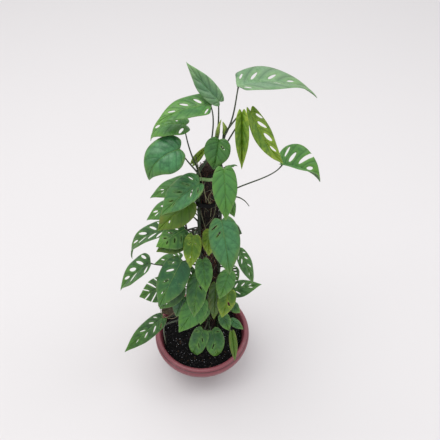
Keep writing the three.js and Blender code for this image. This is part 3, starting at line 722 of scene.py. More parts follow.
def on_blade(row, out, lobe):
    """Along and out, as shares, of the point at a place between veins and between midrib and margin."""
    veins = np.vstack([(0, 0.0, 0.0), side_veins(lobe)])  # a first row that rounds the basal lobe
    row, out = np.asarray(row, float), np.asarray(out, float)
    k = np.clip(np.floor(row).astype(int), 0, PANELS - 1)
    t = (row - k)[:, None]
    before, here, after, beyond = veins[k], veins[k + 1], veins[k + 2], veins[np.minimum(k + 3, PANELS + 1)]
    root, x, y = (  # a smooth curve through the four veins round the place
        (2 * t ** 3 - 3 * t ** 2 + 1) * here + (t ** 3 - 2 * t ** 2 + t) * (after - before) / 2
        + (3 * t ** 2 - 2 * t ** 3) * after + (t ** 3 - t ** 2) * (beyond - here) / 2).T
    root = np.maximum(root, 0)
    back = np.clip(1 - row, 0, 1)
    sweep = back * (2 * out - out ** 2) + (1 - back) * out ** VEIN_SWEEP
    return root + (x - root) * sweep, y * out


def panel_loop():
    """The border of a panel, once round, as places across it and outward."""
    low = [(u, 0.0) for u in ACROSS[:-1]]
    right = [(1.0, v) for v in OUTWARD[:-1]]
    high = [(u, 1.0) for u in ACROSS[:0:-1]]
    left = [(0.0, v) for v in OUTWARD[:0:-1]]
    return np.array(low + right + high + left)


BORDER = panel_loop()


def grid_quads(rows, count, closed=False):
    """Quads between rows of points. In a closed row the last point is joined to the first."""
    return [(row * count + i, row * count + (i + 1) % count,
             (row + 1) * count + (i + 1) % count, (row + 1) * count + i)
            for row in range(rows - 1) for i in range(count if closed else count - 1)]


def panel(hole):
    """Points, as places across and outward, and quads of one panel, with its hole if it has one."""
    if hole is None:
        points = np.array([(u, v) for v in OUTWARD for u in ACROSS])
        return points, grid_quads(len(OUTWARD), len(ACROSS))
    middle, reach, spread = hole
    away = BORDER[:, 1] - middle
    turn = np.arctan2(away / np.where(away > 0, max(1 - middle, 0.05), middle), (BORDER[:, 0] - 0.5) / 0.5)
    narrowing = 1 - EGG * np.sin(turn)
    edge = np.stack([0.5 + spread * np.cos(turn) * narrowing, middle + reach * np.sin(turn)], 1)
    edge[:, 1] = np.minimum(edge[:, 1], 1.0)
    points = np.concatenate([edge + (BORDER - edge) * share for share in RINGS])
    quads = grid_quads(len(RINGS), len(BORDER), closed=True)
    return points, [quad for quad in quads if points[list(quad), 1].min() < 1 - 1e-6]


# %% Flat blades
SLIMMER = 0.85  # a hole's half width, as a share of the solid's
QUILT, RIB_GROOVE, EDGE_CURL = 1.4, 0.8, 0.35  # millimetres


def one_side(value, side):
    """A leaf's value for one of its sides. A pair holds one for each."""
    return value[0 if side > 0 else 1] if isinstance(value, tuple) else value


def draw_hole(random, leaf, row, side):
    """A panel's hole as middle, half length and half width, or None. The order of the draws is fixed."""
    if row == PANELS - 1:
        return None
    cut = row > 0 and next(random) < one_side(leaf["holes"], side)
    wide = (0.15 + 0.1 * next(random)) * leaf["size"]
    inner = (0.34 if row == 1 else 0.16) + 0.08 * next(random)
    outer = min(0.88, inner + (0.4 + 0.16 * next(random)) * math.sqrt(leaf["size"]))
    if next(random) < one_side(leaf["torn"], side):
        outer = 1.3  # past the margin, so that the hole is an open slot
    return ((inner + outer) / 2, (outer - inner) / 2, min(0.4, wide * SLIMMER)) if cut else None


def clockwise(x, y):
    """Whether points go round with the clock."""
    return float(np.sum(x * np.roll(y, -1) - np.roll(x, -1) * y)) < 0


def rim_points(faces):
    """The points on an edge that only one face has."""
    edges = {}
    for face in faces:
        for a, b in zip(face, face[1:] + face[:1]):
            key = (min(a, b), max(a, b))
            edges[key] = edges.get(key, 0) + 1
    return sorted({point for key, count in edges.items() if count == 1 for point in key})


def flat_blade(name, leaf):
    """The flat blade as a mesh, with x along it, y out from its midrib and z its quilting."""
    random = draws(leaf["seed"])
    rows, outs, sides, quads = [], [], [], []
    for side in (1, -1):
        for row in range(PANELS):
            points, faces = panel(draw_hole(random, leaf, row, side))
            start = sum(map(len, rows))
            rows.append(row + points[:, 0])
            outs.append(points[:, 1])
            sides.append(np.full(len(points), side))
            quads += [tuple(start + i for i in face) for face in faces]
    rows, outs, sides = map(np.concatenate, (rows, outs, sides))
    along, out = on_blade(rows, outs, leaf["lobe"])
    return weld(name, leaf, along, out * sides, rows, outs, quads)


def weld(name, leaf, along, out, rows, outs, quads):
    """Joins the panels where they meet, and writes what the finish needs on each point."""
    keys = np.round(np.stack([along, out], 1), 5)
    _, first, joined = np.unique(keys, axis=0, return_index=True, return_inverse=True)
    joined = joined.ravel()
    faces = [list(dict.fromkeys(int(joined[i]) for i in quad)) for quad in quads]
    faces = [face for face in faces if len(face) > 2]
    along, out, rows, outs = along[first], out[first], rows[first], outs[first]
    faces = [face if clockwise(along[face], out[face]) else face[::-1] for face in faces]
    length = (Vector(leaf["tip"]) - Vector(leaf["base"])).length
    flat = np.stack([along * length, out * leaf["width"]], 1)
    rim = rim_points(faces)
    edge = np.sqrt(((flat[:, None] - flat[None, rim]) ** 2).sum(2)).min(1)
    rib = np.abs(flat[:, 1])
    quilt = np.abs(np.sin(np.pi * rows)) * np.clip(outs * 4, 0, 1) * np.clip(edge / 4, 0, 1)
    height = QUILT * quilt - RIB_GROOVE * np.exp(-(rib / 1.1) ** 2) - EDGE_CURL * np.exp(-edge / 1.5)
    mesh = bpy.data.meshes.new(name)
    mesh.from_pydata(np.stack([along, out, height * MM], 1).tolist(), [], faces)
    tint = np.full(len(along), leaf["tint"])
    known = {"row": rows, "rib": rib, "edge": edge, "along": along, "reach": outs, "tint": tint}
    for label, values in known.items():
        write_attribute(mesh, label, values)
    return mesh


# %% [markdown]
# ## Bending a blade
#
# A living blade is never flat. Its midrib arches and its tip hooks down, each half folds up or down and
# curls, the whole blade may twist, and the margins ripple. These are all rules on the flat pattern, so
# one Geometry Nodes tree with named inputs bends every leaf. A Simple Deform modifier knows only one
# bend at a time, and a lattice can't be reused.

# %% Bend tree
HOOK_START, WAVES = 0.55, 1.5
BLADE_NUMBERS = ("Length", "Width", "Arch", "Hook", "Bend", "Fold", "Curl", "Twist", "Wave")


def bend_plan():
    tree, w = plan("bend a blade", {
        "Base": (0.0, 0.0, 0.0), "Along": (1.0, 0.0, 0.0), "Up": (0.0, 0.0, 1.0), "Across": (0.0, -1.0, 0.0),
        **{label: 0.1 for label in BLADE_NUMBERS}})
    here = w["Geometry"].node("GeometryNodeInputPosition")
    x = here.node("ShaderNodeSeparateXYZ", inputs={0: here})
    y, puff = x.out("Y"), x.out("Z")
    hump, slope, end = 4 * x * (1 - x), 4 - 8 * x, (x - HOOK_START).math("MAXIMUM", 0.0)
    rise = w["Arch"] * hump - w["Hook"] * end * end
    centre = w["Base"] + w["Along"] * (w["Length"] * x) + w["Up"] * (w["Length"] * rise)
    centre = centre + w["Across"] * (w["Length"] * w["Bend"] * hump)
    steep = w["Arch"] * slope - 2 * w["Hook"] * end
    heading = (w["Along"] + w["Up"] * steep + w["Across"] * (w["Bend"] * slope)).vector("NORMALIZE")
    lean = w["Up"].vector("DOT_PRODUCT", heading, output=1)
    upright = (w["Up"] - heading * lean).vector("NORMALIZE")
    top = upright.node("ShaderNodeVectorRotate", {"rotation_type": "AXIS_ANGLE"}, {
        "Vector": upright, "Axis": heading, "Angle": w["Twist"] * x})
    side = heading.vector("CROSS_PRODUCT", top)
    away, sign = y.math("ABSOLUTE"), y.math("SIGN")
    bow = w["Curl"] / (w["Width"] * 0.5)
    left = w["Fold"] - bow * (away * w["Width"])
    out = (w["Fold"].math("SINE") - left.math("SINE")) / bow
    ripple = (math.tau * (WAVES * x + 0.25 * sign)).math("SINE") * w["Wave"] * (2 * away) ** 2
    lift = (left.math("COSINE") - w["Fold"].math("COSINE")) / bow + ripple + puff
    place = centre + side * (sign * out) + top * lift
    close_plan(tree, w, here.node("GeometryNodeSetPosition", inputs={0: w["Geometry"], "Position": place}))
    return tree


BEND = bend_plan()


def facing(turn, rise):
    """The way a face looks: turn 0 is the front and 90 the right, rise 90 is straight up."""
    a, b = math.radians(turn), math.radians(rise)
    return Vector((math.sin(a) * math.cos(b), -math.cos(a) * math.cos(b), math.sin(b)))


def blade_axes(leaf):
    """A blade's base and length, and the ways that it points, faces and spreads."""
    base, tip = Vector(leaf["base"]), Vector(leaf["tip"])
    along = (tip - base).normalized()
    up = facing(*leaf["face"])
    up = (up - along * up.dot(along)).normalized()
    return base, (tip - base).length, along, up, along.cross(up)


BLADE_THICKNESS = 0.5 * MM


def grow_blade(name, leaf, top, under, slot, *nodes):
    """One leaf: its flat pattern, bent by the tree, given its thickness, with its own underside."""
    mesh = flat_blade(name, leaf)
    faces = len(mesh.polygons)
    maker = show(name + " maker", mesh)
    base, length, along, up, across = blade_axes(leaf)
    values = {"Base": base * MM, "Along": along, "Up": up, "Across": across, "Length": length * MM}
    values |= {label.title(): leaf[label] for label in ("arch", "hook", "bend")}
    values |= {label.title(): leaf[label] * MM for label in ("width", "wave")}
    values |= {label.title(): math.radians(leaf[label]) for label in ("fold", "curl", "twist")}
    run_plan(maker, BEND, {**values, "Material": top})
    shell = maker.modifiers.new("thickness", "SOLIDIFY")
    shell.thickness, shell.offset = BLADE_THICKNESS, 0
    piece = settle(maker, name, slot, *nodes)
    piece.data.materials.append(under)
    index = np.zeros(len(piece.data.polygons), np.int32)
    index[faces:2 * faces] = 1
    piece.data.polygons.foreach_set("material_index", index)
    return piece


# %% [markdown]
# ## The leaf finishes
#
# A leaf is waxy, with a paler midrib, side veins that sink in, and a thin yellow-green margin, and it
# is darkened by painted shade beside the sunken veins. Age changes it: young blades are lime, old ones
# olive or mottled with yellow, and the ones in full shade are a bluish green. Towards the tip and the
# margin each blade turns a warmer yellow-green, which is painted light: the green of light through the
# blade. The pattern reads attributes that the mesh carries, so it follows each blade however it is
# bent. The underside is a duller, lighter green.

# %% Leaf finishes
def from_mesh(board, *names):
    """The attributes that the mesh carries under these names."""
    return [board.node("ShaderNodeAttribute", {"attribute_name": name}, output="Fac") for name in names]


def off_whole(wire):
    """How far a number is from the nearest whole one."""
    return (wire - wire.math("ROUND")).math("ABSOLUTE")


def leaf_finish(name, colours, patch=None, patches=0.0, rough=0.36, coat=0.15, vein_shade_strength=0.3):
    """A leaf's upper face. patch is the colour of its yellow patches, vein_shade_strength how much painted
    shade darkens the blade beside the sunken veins.
    """
    material, board, set_sockets = new_finish(name)
    dark, light, vein, margin, warm_tip = (srgb(code) for code in colours.split())
    row, rib, edge, reach, tint, along = from_mesh(board, "row", "rib", "edge", "reach", "tint", "along")
    broad, mottle, fine = clouds(board, 0.03), clouds(board, 0.009, 4.0), clouds(board, 0.003)
    off_vein, off_small = off_whole(row), off_whole(row * 2)
    vein_line = (1 - off_vein.band(0.015, 0.09)) * reach.band(0.0, 0.04)
    small_line = (1 - off_small.band(0.02, 0.14)) * reach.band(0.02, 0.1)
    rib_line = 1 - rib.band(0.5, 1.3)
    rim_line = 1 - edge.band(0.3, 1.0)
    shade = (tint * 0.7 + broad * 0.6 + mottle * 1.1 + fine * 0.5 - 0.95).band(0.1, 0.95)
    green = shade.mix(dark, light)
    # Painted light: a warmer yellow-green towards the tip and the margin, the green of light coming through
    # the blade where no bluish sky reflection lies.
    tip_and_margin_light = (along.band(0.3, 1.0) * 0.9 + (1 - edge.band(0.5, 12.0)) * 0.45) * broad.band(0.2, 0.55)
    green = (tip_and_margin_light * (0.45 + mottle * 0.8)).math("MINIMUM", 0.85).mix(green, warm_tip)
    ageing = (1 - edge.band(0.5, 5.0)) * mottle.band(0.45, 0.62) * 0.3
    green = ageing.mix(green, margin)
    if patch:
        where = (broad * 0.6 + fine * 0.25 + reach * 0.25).band(0.72 - patches * 0.4, 0.86 - patches * 0.3)
        green = (where * 0.85).mix(green, srgb(patch))
    # Painted shade: the blade is darker in the furrows beside the sunken side veins, and the thin dark vein
    # lines below are partly the veins' own colour and partly painted shade in their grooves.
    painted_vein_shade = (1 - off_vein.band(0.03, 0.36)) * 0.6 + (1 - off_small.band(0.05, 0.8)) * 0.4
    painted_vein_shade = painted_vein_shade * reach.band(0.02, 0.3) * mottle.band(0.2, 0.75)
    between = (painted_vein_shade * vein_shade_strength).mix(green, green * 0.5)
    lined = (vein_line * 0.2 + small_line * 0.08).math("MINIMUM", 0.6).mix(between, vein)
    ribbed = (rib_line * 0.35).mix(lined, margin)
    rimmed = (rim_line * 0.6).mix(ribbed, margin)
    height = 1 - vein_line * 0.7 - small_line * 0.2 - rib_line * 0.6 + fine * 0.25
    set_sockets(
        Base_Color=rimmed, Roughness=rough + fine * 0.12 + broad * 0.08,
        Normal=relief(board, height, 0.0006, 0.8), Coat_Weight=coat, Coat_Roughness=0.25,
        Specular_IOR_Level=0.35)
    return material


def under_finish():
    """The underside: dull, pale, with the midrib and veins standing out lighter."""
    material, board, set_sockets = new_finish("leaf underside")
    row, rib = from_mesh(board, "row", "rib")
    vein_line = 1 - off_whole(row).band(0.02, 0.08)
    rib_line = 1 - rib.band(0.6, 1.4)
    broad = clouds(board, 0.02)
    green = broad.mix(srgb("#36592f"), srgb("#557a48"))
    lined = (vein_line * 0.35 + rib_line * 0.5).mix(green, srgb("#82a06c"))
    set_sockets(
        Base_Color=lined, Roughness=0.6,
        Normal=relief(board, vein_line * 0.5 + rib_line, 0.0005))
    return material


LEAF_KINDS = {  # name, then dark, light, vein, margin and warm tip, then what isn't usual
    "deep": ("deep green leaf", "#193e1d #42783a #1b4422 #6f9650 #4c7c26", {}),
    "mid": ("green leaf", "#215426 #4d8740 #235030 #7da35a #5a8e2c", {}),
    "blue": ("bluish green leaf", "#1e5730 #4e8d58 #285a38 #7d9c58 #4e8030",
             {"patch": "#628236", "patches": 0.15, "coat": 0.2}),
    "light": ("light green leaf", "#44704a #789a76 #38603f #8fb484 #769c60", {"vein_shade_strength": 0.75}),
    "young": ("young leaf", "#38640e #7c9e28 #3a6414 #a2ba46 #7e9c26", {"patch": "#98a830", "patches": 0.2}),
    "olive": ("olive leaf", "#244a0e #4b7018 #284a14 #748a32 #587818", {"patch": "#666e24", "patches": 0.3}),
    "dry": ("dry leaf", "#241d17 #574a3a #3a3026 #7d7058 #5f5038",
            {"patch": "#57452f", "patches": 0.3, "rough": 0.8, "coat": 0.0}),
}
LEAF_FINISHES = {
    kind: leaf_finish(name, colours, **unusual) for kind, (name, colours, unusual) in LEAF_KINDS.items()}
UNDER = under_finish()
print(f"{len(LEAF_FINISHES)} leaf finishes")

# %% [markdown]
# ## Where every leaf grows
#
# One line to a leaf: its shoot, the height where its stalk leaves the shoot, the point where the stalk
# meets the blade, the tip, the blade's width, its colour and the way its face looks, in millimetres and
# degrees. What isn't said has a usual value. Leaves in the light grow paler than shaded ones, so a last
# table says how far a leaf is on its way from its finish's dark colour to its light one. Part of it is
# painted shade and painted light: blades that lie in other leaves' shade are made darker, and one that
# lies in another leaf's shadow is made lighter.

# %% Leaf list
USUAL = {
    "arch": 0.06, "hook": 0, "fold": 12, "curl": 30, "twist": 0, "bend": 0, "wave": 1.5, "lobe": 0.06,
    "holes": 0.6, "torn": 0, "size": 1, "lift": 0.35, "spread": 0.6,
}
GOLDEN = 0.618  # steps of this share spread the leaves' tints evenly
LEAVES = []


def leaf(shoot, start, base, tip, width, colour, face, **more):
    """Adds a leaf to the list. Its number is its place in it, and seeds its holes."""
    number = len(LEAVES) + 1
    LEAVES.append({
        **USUAL, "shoot": shoot, "start": start, "base": base, "tip": tip, "width": width,
        "colour": colour, "face": face, "number": number, "seed": number,
        "tint": number * GOLDEN % 1, **more})


# the crown, above the pole
leaf("right", 830, (78, 10, 933), (222, 35, 900), 92, "light", (180, 79),
     arch=0.1, hook=0.25, fold=14, curl=10, holes=(0.5, 1), size=0.6, lobe=-0.03)
leaf("left", 825, (49, 10, 902), (-9, 65, 946), 31, "light", (25, 25),
     fold=10, holes=0, hook=0.25, lobe=0.05, bend=-0.04, arch=0.08, twist=-60, curl=20)
leaf("left", 780, (36, 12, 894), (-63, -15, 870), 56, "mid", (0, 85),
     fold=12, curl=15, holes=(1, 0.3), size=0.8, lobe=-0.02, bend=0.06)
leaf("left", 745, (-11, 18, 845), (-78, 10, 814), 68, "mid", (180, 87), arch=0.25, holes=0.3)
leaf("left", 738, (-21, -25, 826), (-83, -58, 781), 72, "blue", (-20, 45),
     arch=0.12, hook=1, curl=45, holes=0, bend=0.1)
leaf("left", 790, (49, -13, 837), (38, -34, 783), 48, "deep", (0, 40), holes=0.2, size=0.6, fold=25)
leaf("right", 745, (57, -44, 795), (61, -87, 702), 46, "mid", (10, 40), holes=0.2, size=0.7)
leaf("right", 690, (60, 0, 756), (84, 15, 748), 26, "deep", (180, 41), holes=0)
leaf("right", 835, (86, -30, 909), (88, -60, 808), 29, "young", (0, 20), fold=50, holes=0)
leaf("right", 790, (102, -8, 895), (164, -38, 802), 40, "young", (50, 50),
     bend=0.12, twist=15, fold=25, holes=(0.1, 1), size=1.2)
leaf("right", 660, (165, 0, 765), (247, -10, 739), 90, "mid", (180, 85),
     fold=40, curl=10, hook=0.6, holes=(0.3, 1), torn=(0, 0.4), seed=90)
leaf("left", 742, (-3, 26, 743), (35, 30, 796), 16, "young", (0, 50), holes=0, fold=40)
leaf("right", 640, (64, -2, 677), (80, -18, 633), 24, "mid", (10, 40), holes=0)

# the left side, from the top down
leaf("left", 650, (-14, 2, 716), (-90, -12, 685), 46, "deep", (-30, 80), holes=0.5, size=0.6)
leaf("left", 690, (11, -30, 745), (-64, -60, 686), 68, "blue", (-40, 75), holes=0.8, size=0.6, fold=28)
leaf("left", 590, (-35, 2, 657), (-105, -8, 612), 50, "deep", (-30, 85), holes=0.8)
leaf("left", 560, (-65, -10, 585), (-155, -25, 510), 60, "deep", (180, 82),
     arch=0.14, hook=0.5, holes=(1, 0.6), size=1.2, fold=25)
leaf("left", 625, (-9, -25, 690), (-76, -55, 634), 62, "olive", (-20, 50), holes=0.15, size=0.6)
leaf("left", 570, (-23, -33, 614), (-83, -60, 588), 66, "mid", (-10, 60), fold=-15, holes=0.5, size=0.7)
leaf("left", 500, (-28, -10, 556), (-88, -40, 545), 50, "olive", (-10, 60), holes=0.2, size=0.7)
leaf("left", 400, (-108, -20, 481), (-185, -45, 402), 70, "deep", (-85, 50),
     fold=28, holes=(1, 0.8), size=1.2, lift=0.5, lobe=0.03)
leaf("left", 420, (-43, 20, 441), (-109, 18, 421), 50, "deep", (180, 82), holes=0.8)
leaf("left", 310, (-78, -3, 358), (-153, -13, 324), 66, "deep", (-20, 70), torn=1, holes=1, size=0.7)
leaf("left", 330, (-42, -28, 396), (-98, -55, 334), 52, "deep", (-30, 60), holes=0.3, size=0.7)

# the front, from the top down
leaf("right", 590, (53, -40, 649), (71, -90, 531), 64, "blue", (10, 30), holes=(0.4, 0), size=0.7)
leaf("left", 550, (-4, -50, 612), (-13, -80, 540), 38, "young", (-5, 30), holes=0.35, size=0.35)
leaf("right", 540, (31, -36, 611), (26, -60, 557), 36, "young", (-20, 30), holes=0)
leaf("left", 450, (-36, -40, 509), (-91, -90, 398), 68, "blue", (-20, 30), holes=(0.7, 0.2), size=0.6)
leaf("right", 480, (12, -50, 530), (20, -90, 461), 38, "mid", (10, 30), holes=0.2, size=0.5)
leaf("left", 430, (-22, -30, 480), (-32, -42, 425), 42, "deep", (-20, 30), holes=0.8)
leaf("right", 420, (70, -45, 478), (48, -70, 403), 42, "mid", (0, 30), holes=0)
leaf("left", 410, (1, -55, 473), (-11, -96, 364), 48, "mid", (-10, 30), holes=0.3, size=0.6)
leaf("right", 390, (41, -33, 410), (34, -54, 282), 34, "olive", (0, 25), holes=0)
leaf("right", 345, (71, -42, 396), (54, -72, 322), 44, "young", (10, 30), holes=0.1)
leaf("left", 330, (16, -38, 350), (0, -64, 274), 34, "mid", (0, 30), holes=0.1)
leaf("left", 320, (5, -54, 377), (-51, -96, 294), 60, "mid", (-20, 30), holes=0.1)
leaf("left", 310, (-37, -36, 360), (-60, -50, 290), 44, "blue", (-30, 30), holes=0, fold=18)

# the right side
leaf("right", 430, (94, -5, 501), (129, -25, 400), 34, "deep", (40, 25), holes=0.6, size=0.7)
leaf("right", 360, (75, 10, 415), (95, 5, 370), 32, "deep", (20, 40), holes=1)
leaf("right", 290, (75, -5, 337), (155, 10, 346), 48, "deep", (0, 88), holes=0.9, size=0.8)

# low shoots over the soil and the rim
leaf("left", 215, (-97, -45, 276), (-197, -100, 197), 46, "deep", (-20, 60), holes=(0.9, 0.4), size=0.6)
leaf("low", 200, (7, -66, 250), (-26, -95, 149), 48, "mid", (-30, 35), holes=0.3, size=0.7, hook=1.1)
leaf("low", 190, (29, -60, 237), (47, -95, 141), 54, "mid", (30, 35), holes=0.3, size=0.7, hook=1)
leaf("right", 240, (55, -50, 302), (74, -66, 247), 30, "mid", (20, 30), holes=0)
leaf("right", 165, (80, -74, 257), (89, -108, 162), 21, "olive", (10, 30), fold=25, holes=0, lift=0.3)
leaf("right", 160, (79, -22, 226), (113, -32, 194), 22, "blue", (20, 60), holes=0)
leaf("right", 170, (80, 20, 235), (105, 15, 200), 28, "mid", (40, 50), holes=0)
leaf("left", 235, (-49, -22, 301), (-110, -22, 262), 48, "dry", (-20, 60),
     fold=5, curl=110, holes=0, hook=1, wave=3)

# the far side, where one shoot's leaves hang in two uneven ranks
BACK_LEAVES, BACK_LOWEST, BACK_STEP, BACK_STALK, BACK_SEED = 8, 245, 54, 62, 5
numbers = draws(BACK_SEED)


def vary(low, high):
    """The next of the seeded draws, between two limits."""
    return low + (high - low) * next(numbers)


for i in range(BACK_LEAVES):
    height = BACK_LOWEST + i * BACK_STEP + vary(0, 20)
    turn = 180 + (-1 if i % 2 else 1) * vary(22, 48)
    out = facing(turn, 0)
    base = Vector((pole_x(height), POLE_Y, height)) + out * vary(54, 76)
    tip = base + out * vary(15, 55) - Vector((0, 0, vary(64, 88)))
    leaf("back", height - BACK_STALK, base, tip, vary(44, 56), "deep", (turn, 35), holes=0.3, size=0.8)

# how light each blade is within its colour, from 0 to 1, where it isn't as its number gives it. Part of
# this is painted shade, low values for blades that lie in other leaves' shade such as 24, 32 and 37, and
# painted light, a higher value for 4, which lies in the shadow of 3.
TINTS_WITH_PAINTED_LIGHT = {
    3: 0.45, 4: 0.7, 5: 0.5, 6: 0.95, 7: 1, 9: 0.4, 10: 0.5, 12: 1, 14: 0.95, 15: 0.6, 17: 0.35, 18: 1,
    19: 0, 21: 0.5, 24: 0, 25: 0.7, 26: 0.1, 28: 0, 29: 0.5, 31: 0.7, 32: 0, 33: 0.3, 34: 0, 36: 0.65,
    37: 0, 38: 0.6, 40: 0.6, 41: 0.25, 42: 0.15, 43: 0.15,
}
for number, tint in TINTS_WITH_PAINTED_LIGHT.items():
    LEAVES[number - 1]["tint"] = tint
print(f"{len(LEAVES)} leaves")

# %% [markdown]
# ## The shoots and the stalks
#
# Four shoots climb the pole, swollen a little at each joint where a stalk leaves them. A stalk is a thin
# curve that clasps the shoot with a sheath and ends in a thicker knee under the blade. All of them are
# polylines with a radius on each point, and one tree sweeps a circle along them.

# %% Tube tree
def tube_plan():
    tree, wires = plan("sweep tubes", {"Sides": 10})
    curve = wires["Geometry"].node("GeometryNodeMeshToCurve", inputs={0: wires["Geometry"]})
    radius = curve.node("GeometryNodeInputNamedAttribute", {"data_type": "FLOAT"}, {"Name": "radius"})
    outline = curve.node("GeometryNodeCurvePrimitiveCircle", inputs={
        "Resolution": wires["Sides"], "Radius": 1.0})
    tube = curve.node("GeometryNodeCurveToMesh", inputs={
        "Curve": curve, "Profile Curve": outline, "Scale": radius, "Fill Caps": True})
    close_plan(tree, wires, tube)
    return tree


TUBES = tube_plan()


def tubes(name, slot, lines, finish, nodes=(), sides=10):
    """Tubes along lines. Each line is points in millimetres, radii in millimetres, and shares of age."""
    points, edges, radii, ages = [], [], [], []
    for line, radius, age in lines:
        edges += [(len(points) + i, len(points) + i + 1) for i in range(len(line) - 1)]
        points += [tuple(MM * point) for point in line]
        radii += [MM * r for r in radius]
        ages += list(age)
    mesh = bpy.data.meshes.new(name)
    mesh.from_pydata(points, edges, [])
    write_attribute(mesh, "radius", radii)
    write_attribute(mesh, "age", ages)
    maker = show(name + " maker", mesh)
    run_plan(maker, TUBES, {"Sides": sides, "Material": finish})
    piece = settle(maker, name, slot, *nodes)
    print(f"{name}: {len(lines)} tubes, {len(piece.data.polygons)} faces")


# %% Shoot paths
STEM_RADIUS, STEM_FOOT, STEM_GAP = 4, 55, 0.7
JOINT_STEP, JOINT_APART, JOINT_REACH = 38, 24, 5
STEM_STEP, STEM_SUNK, WOBBLE, WOBBLE_LENGTH = 3.0, 12, 0.8, 60


def by_pole(angle, height):
    """A point on a shoot that runs along the pole, at an angle from the right."""
    turn, reach = math.radians(angle), POLE_RADIUS + STEM_RADIUS + STEM_GAP
    return Vector((pole_x(height) + reach * math.cos(turn), POLE_Y + reach * math.sin(turn), height))


SHOOTS = {
    "right": [by_pole(-25, STEM_FOOT), by_pole(-20, 742), (48, 2, 790), (56, 5, 820), (60, 7, 850)],
    "left": [by_pole(-150, STEM_FOOT), by_pole(-145, 742), (24, -2, 775), (40, 0, 805), (47, 5, 845)],
    "back": [by_pole(80, STEM_FOOT), by_pole(95, 640)],
    "low": [by_pole(-92, STEM_FOOT), by_pole(-92, 330)],
}


def on_shoot(shoot, height):
    """The point of a shoot at a height."""
    path = [Vector(point) for point in SHOOTS[shoot]]
    i = next((i for i in range(1, len(path)) if path[i].z >= height), len(path) - 1)
    low, high = path[i - 1], path[i]
    return low.lerp(high, (height - low.z) / (high.z - low.z))


def shoot_line(shoot):
    """A shoot's points, with joints where stalks leave it and on the bare lengths between them."""
    low, high = SOIL_LEVEL - STEM_SUNK, SHOOTS[shoot][-1][2]
    joints = [one["start"] for one in LEAVES if one["shoot"] == shoot]
    bare = range(int(low) + 30, int(high), JOINT_STEP)
    joints += [z for z in bare if all(abs(z - joint) > JOINT_APART for joint in joints)]
    heights = np.arange(low, high, STEM_STEP).tolist() + [high]
    line, radii = [], []
    for z in heights:
        aside = [noise.noise(Vector((z / WOBBLE_LENGTH, row, 0))) for row in (1, 7)]
        line.append(on_shoot(shoot, z) + Vector((*aside, 0)) * WOBBLE)
        near = min(abs(z - joint) for joint in joints)
        taper = 1 - 0.35 * max(0, (z - 600) / 250)
        knuckle = 0.24 * math.exp(-(near / JOINT_REACH) ** 2)
        radii.append(STEM_RADIUS * (0.86 * taper + knuckle) * (1 if z < high else 0.4))
    return line, radii, [0.1 + 0.5 * (z - low) / (high - low) for z in heights]


STALK_POINTS = 26
STALK_MEETS, STALK_UNDER = 2.5, 0.9  # how far in from the blade's base, and how far under it
THICK, THINNING, SHEATH_SWELL, KNEE_SWELL = 1.7, 0.6, 0.9, 0.5


def stalk_line(one):
    """A leaf's stalk: a curve that rises from the shoot and meets the blade from below."""
    base, length, along, up, _ = blade_axes(one)
    x = STALK_MEETS / length
    heading = (along + up * (4 * one["arch"] * (1 - 2 * x))).normalized()
    top = (up - heading * up.dot(heading)).normalized()
    end = base + along * (length * x) + up * (one["arch"] * length * 4 * x * (1 - x)) - top * STALK_UNDER
    foot = on_shoot(one["shoot"], one["start"])
    span = (end - foot).length
    outward = (end - foot) * Vector((1, 1, 0))
    rise = (Vector((0, 0, 1)) + outward.normalized() * one["spread"]).normalized()
    entry = (top * 0.9 + heading * 0.4 + Vector((0, 0, 0.3))).normalized()
    controls = [foot, foot + rise * (span * one["lift"]), end - entry * (span * 0.28), end]
    line, radii = [], []
    for i in range(STALK_POINTS):
        t = i / (STALK_POINTS - 1)
        weights = [(1 - t) ** 3, 3 * t * (1 - t) ** 2, 3 * t * t * (1 - t), t ** 3]
        line.append(sum((point * weight for point, weight in zip(controls, weights)), Vector()))
        sheath, knee = math.exp(-(t / 0.12) ** 2), math.exp(-((1 - t) / 0.06) ** 2)
        radii.append(THICK - THINNING * t + SHEATH_SWELL * sheath + KNEE_SWELL * knee)
    return line, radii, [0.6 + 0.4 * i / (STALK_POINTS - 1) for i in range(STALK_POINTS)]


# %% Stem finish
GREEN_AGE = 0.45  # the share of age at which bark is plain green


def stem_finish(name, old, green, young):
    """Green bark, brown and corky low down, with pale flecks along it."""
    material, board, set_sockets = new_finish(name)
    [age] = from_mesh(board, "age")
    broad, fine = clouds(board, 0.02), clouds(board, 0.0016, 3.0, (1, 1, 0.4))
    stops = [(0.0, srgb(old)), (GREEN_AGE, srgb(green)), (1.0, srgb(young))]
    ramp = age.node("ShaderNodeValToRGB", {"stops": stops}, {"Fac": age + broad * 0.25 - 0.12})
    set_sockets(
        Base_Color=(fine.band(0.5, 0.75) * 0.3).mix(ramp, srgb("#7d9068")),
        Roughness=0.5, Normal=relief(board, fine, 0.0003, 0.6))
    return material


STEM = stem_finish("green stem", "#172412", "#24391b", "#38422c")
ROOT = stem_finish("aerial root", "#2e3528", "#4d5546", "#6a7060")

# %% Shoots and stalks
for shoot in SHOOTS:
    lines = [shoot_line(shoot)] + [stalk_line(one) for one in LEAVES if one["shoot"] == shoot]
    tubes(f"shoot_{shoot}", "stem", lines, STEM, [f"stem_{shoot}"])

# %% [markdown]
# ## Roots
#
# A climbing plant holds on with aerial roots. Young ones are pale and smooth and leave each joint to
# creep over the coir, and one has let go and hangs down to the soil. Old ones are brown and stay where
# they dried. Creeping roots follow a rule with seeded draws, because they follow the pole. The loose
# ones are drawn as a few points each, and a Catmull-Rom curve rounds them off.

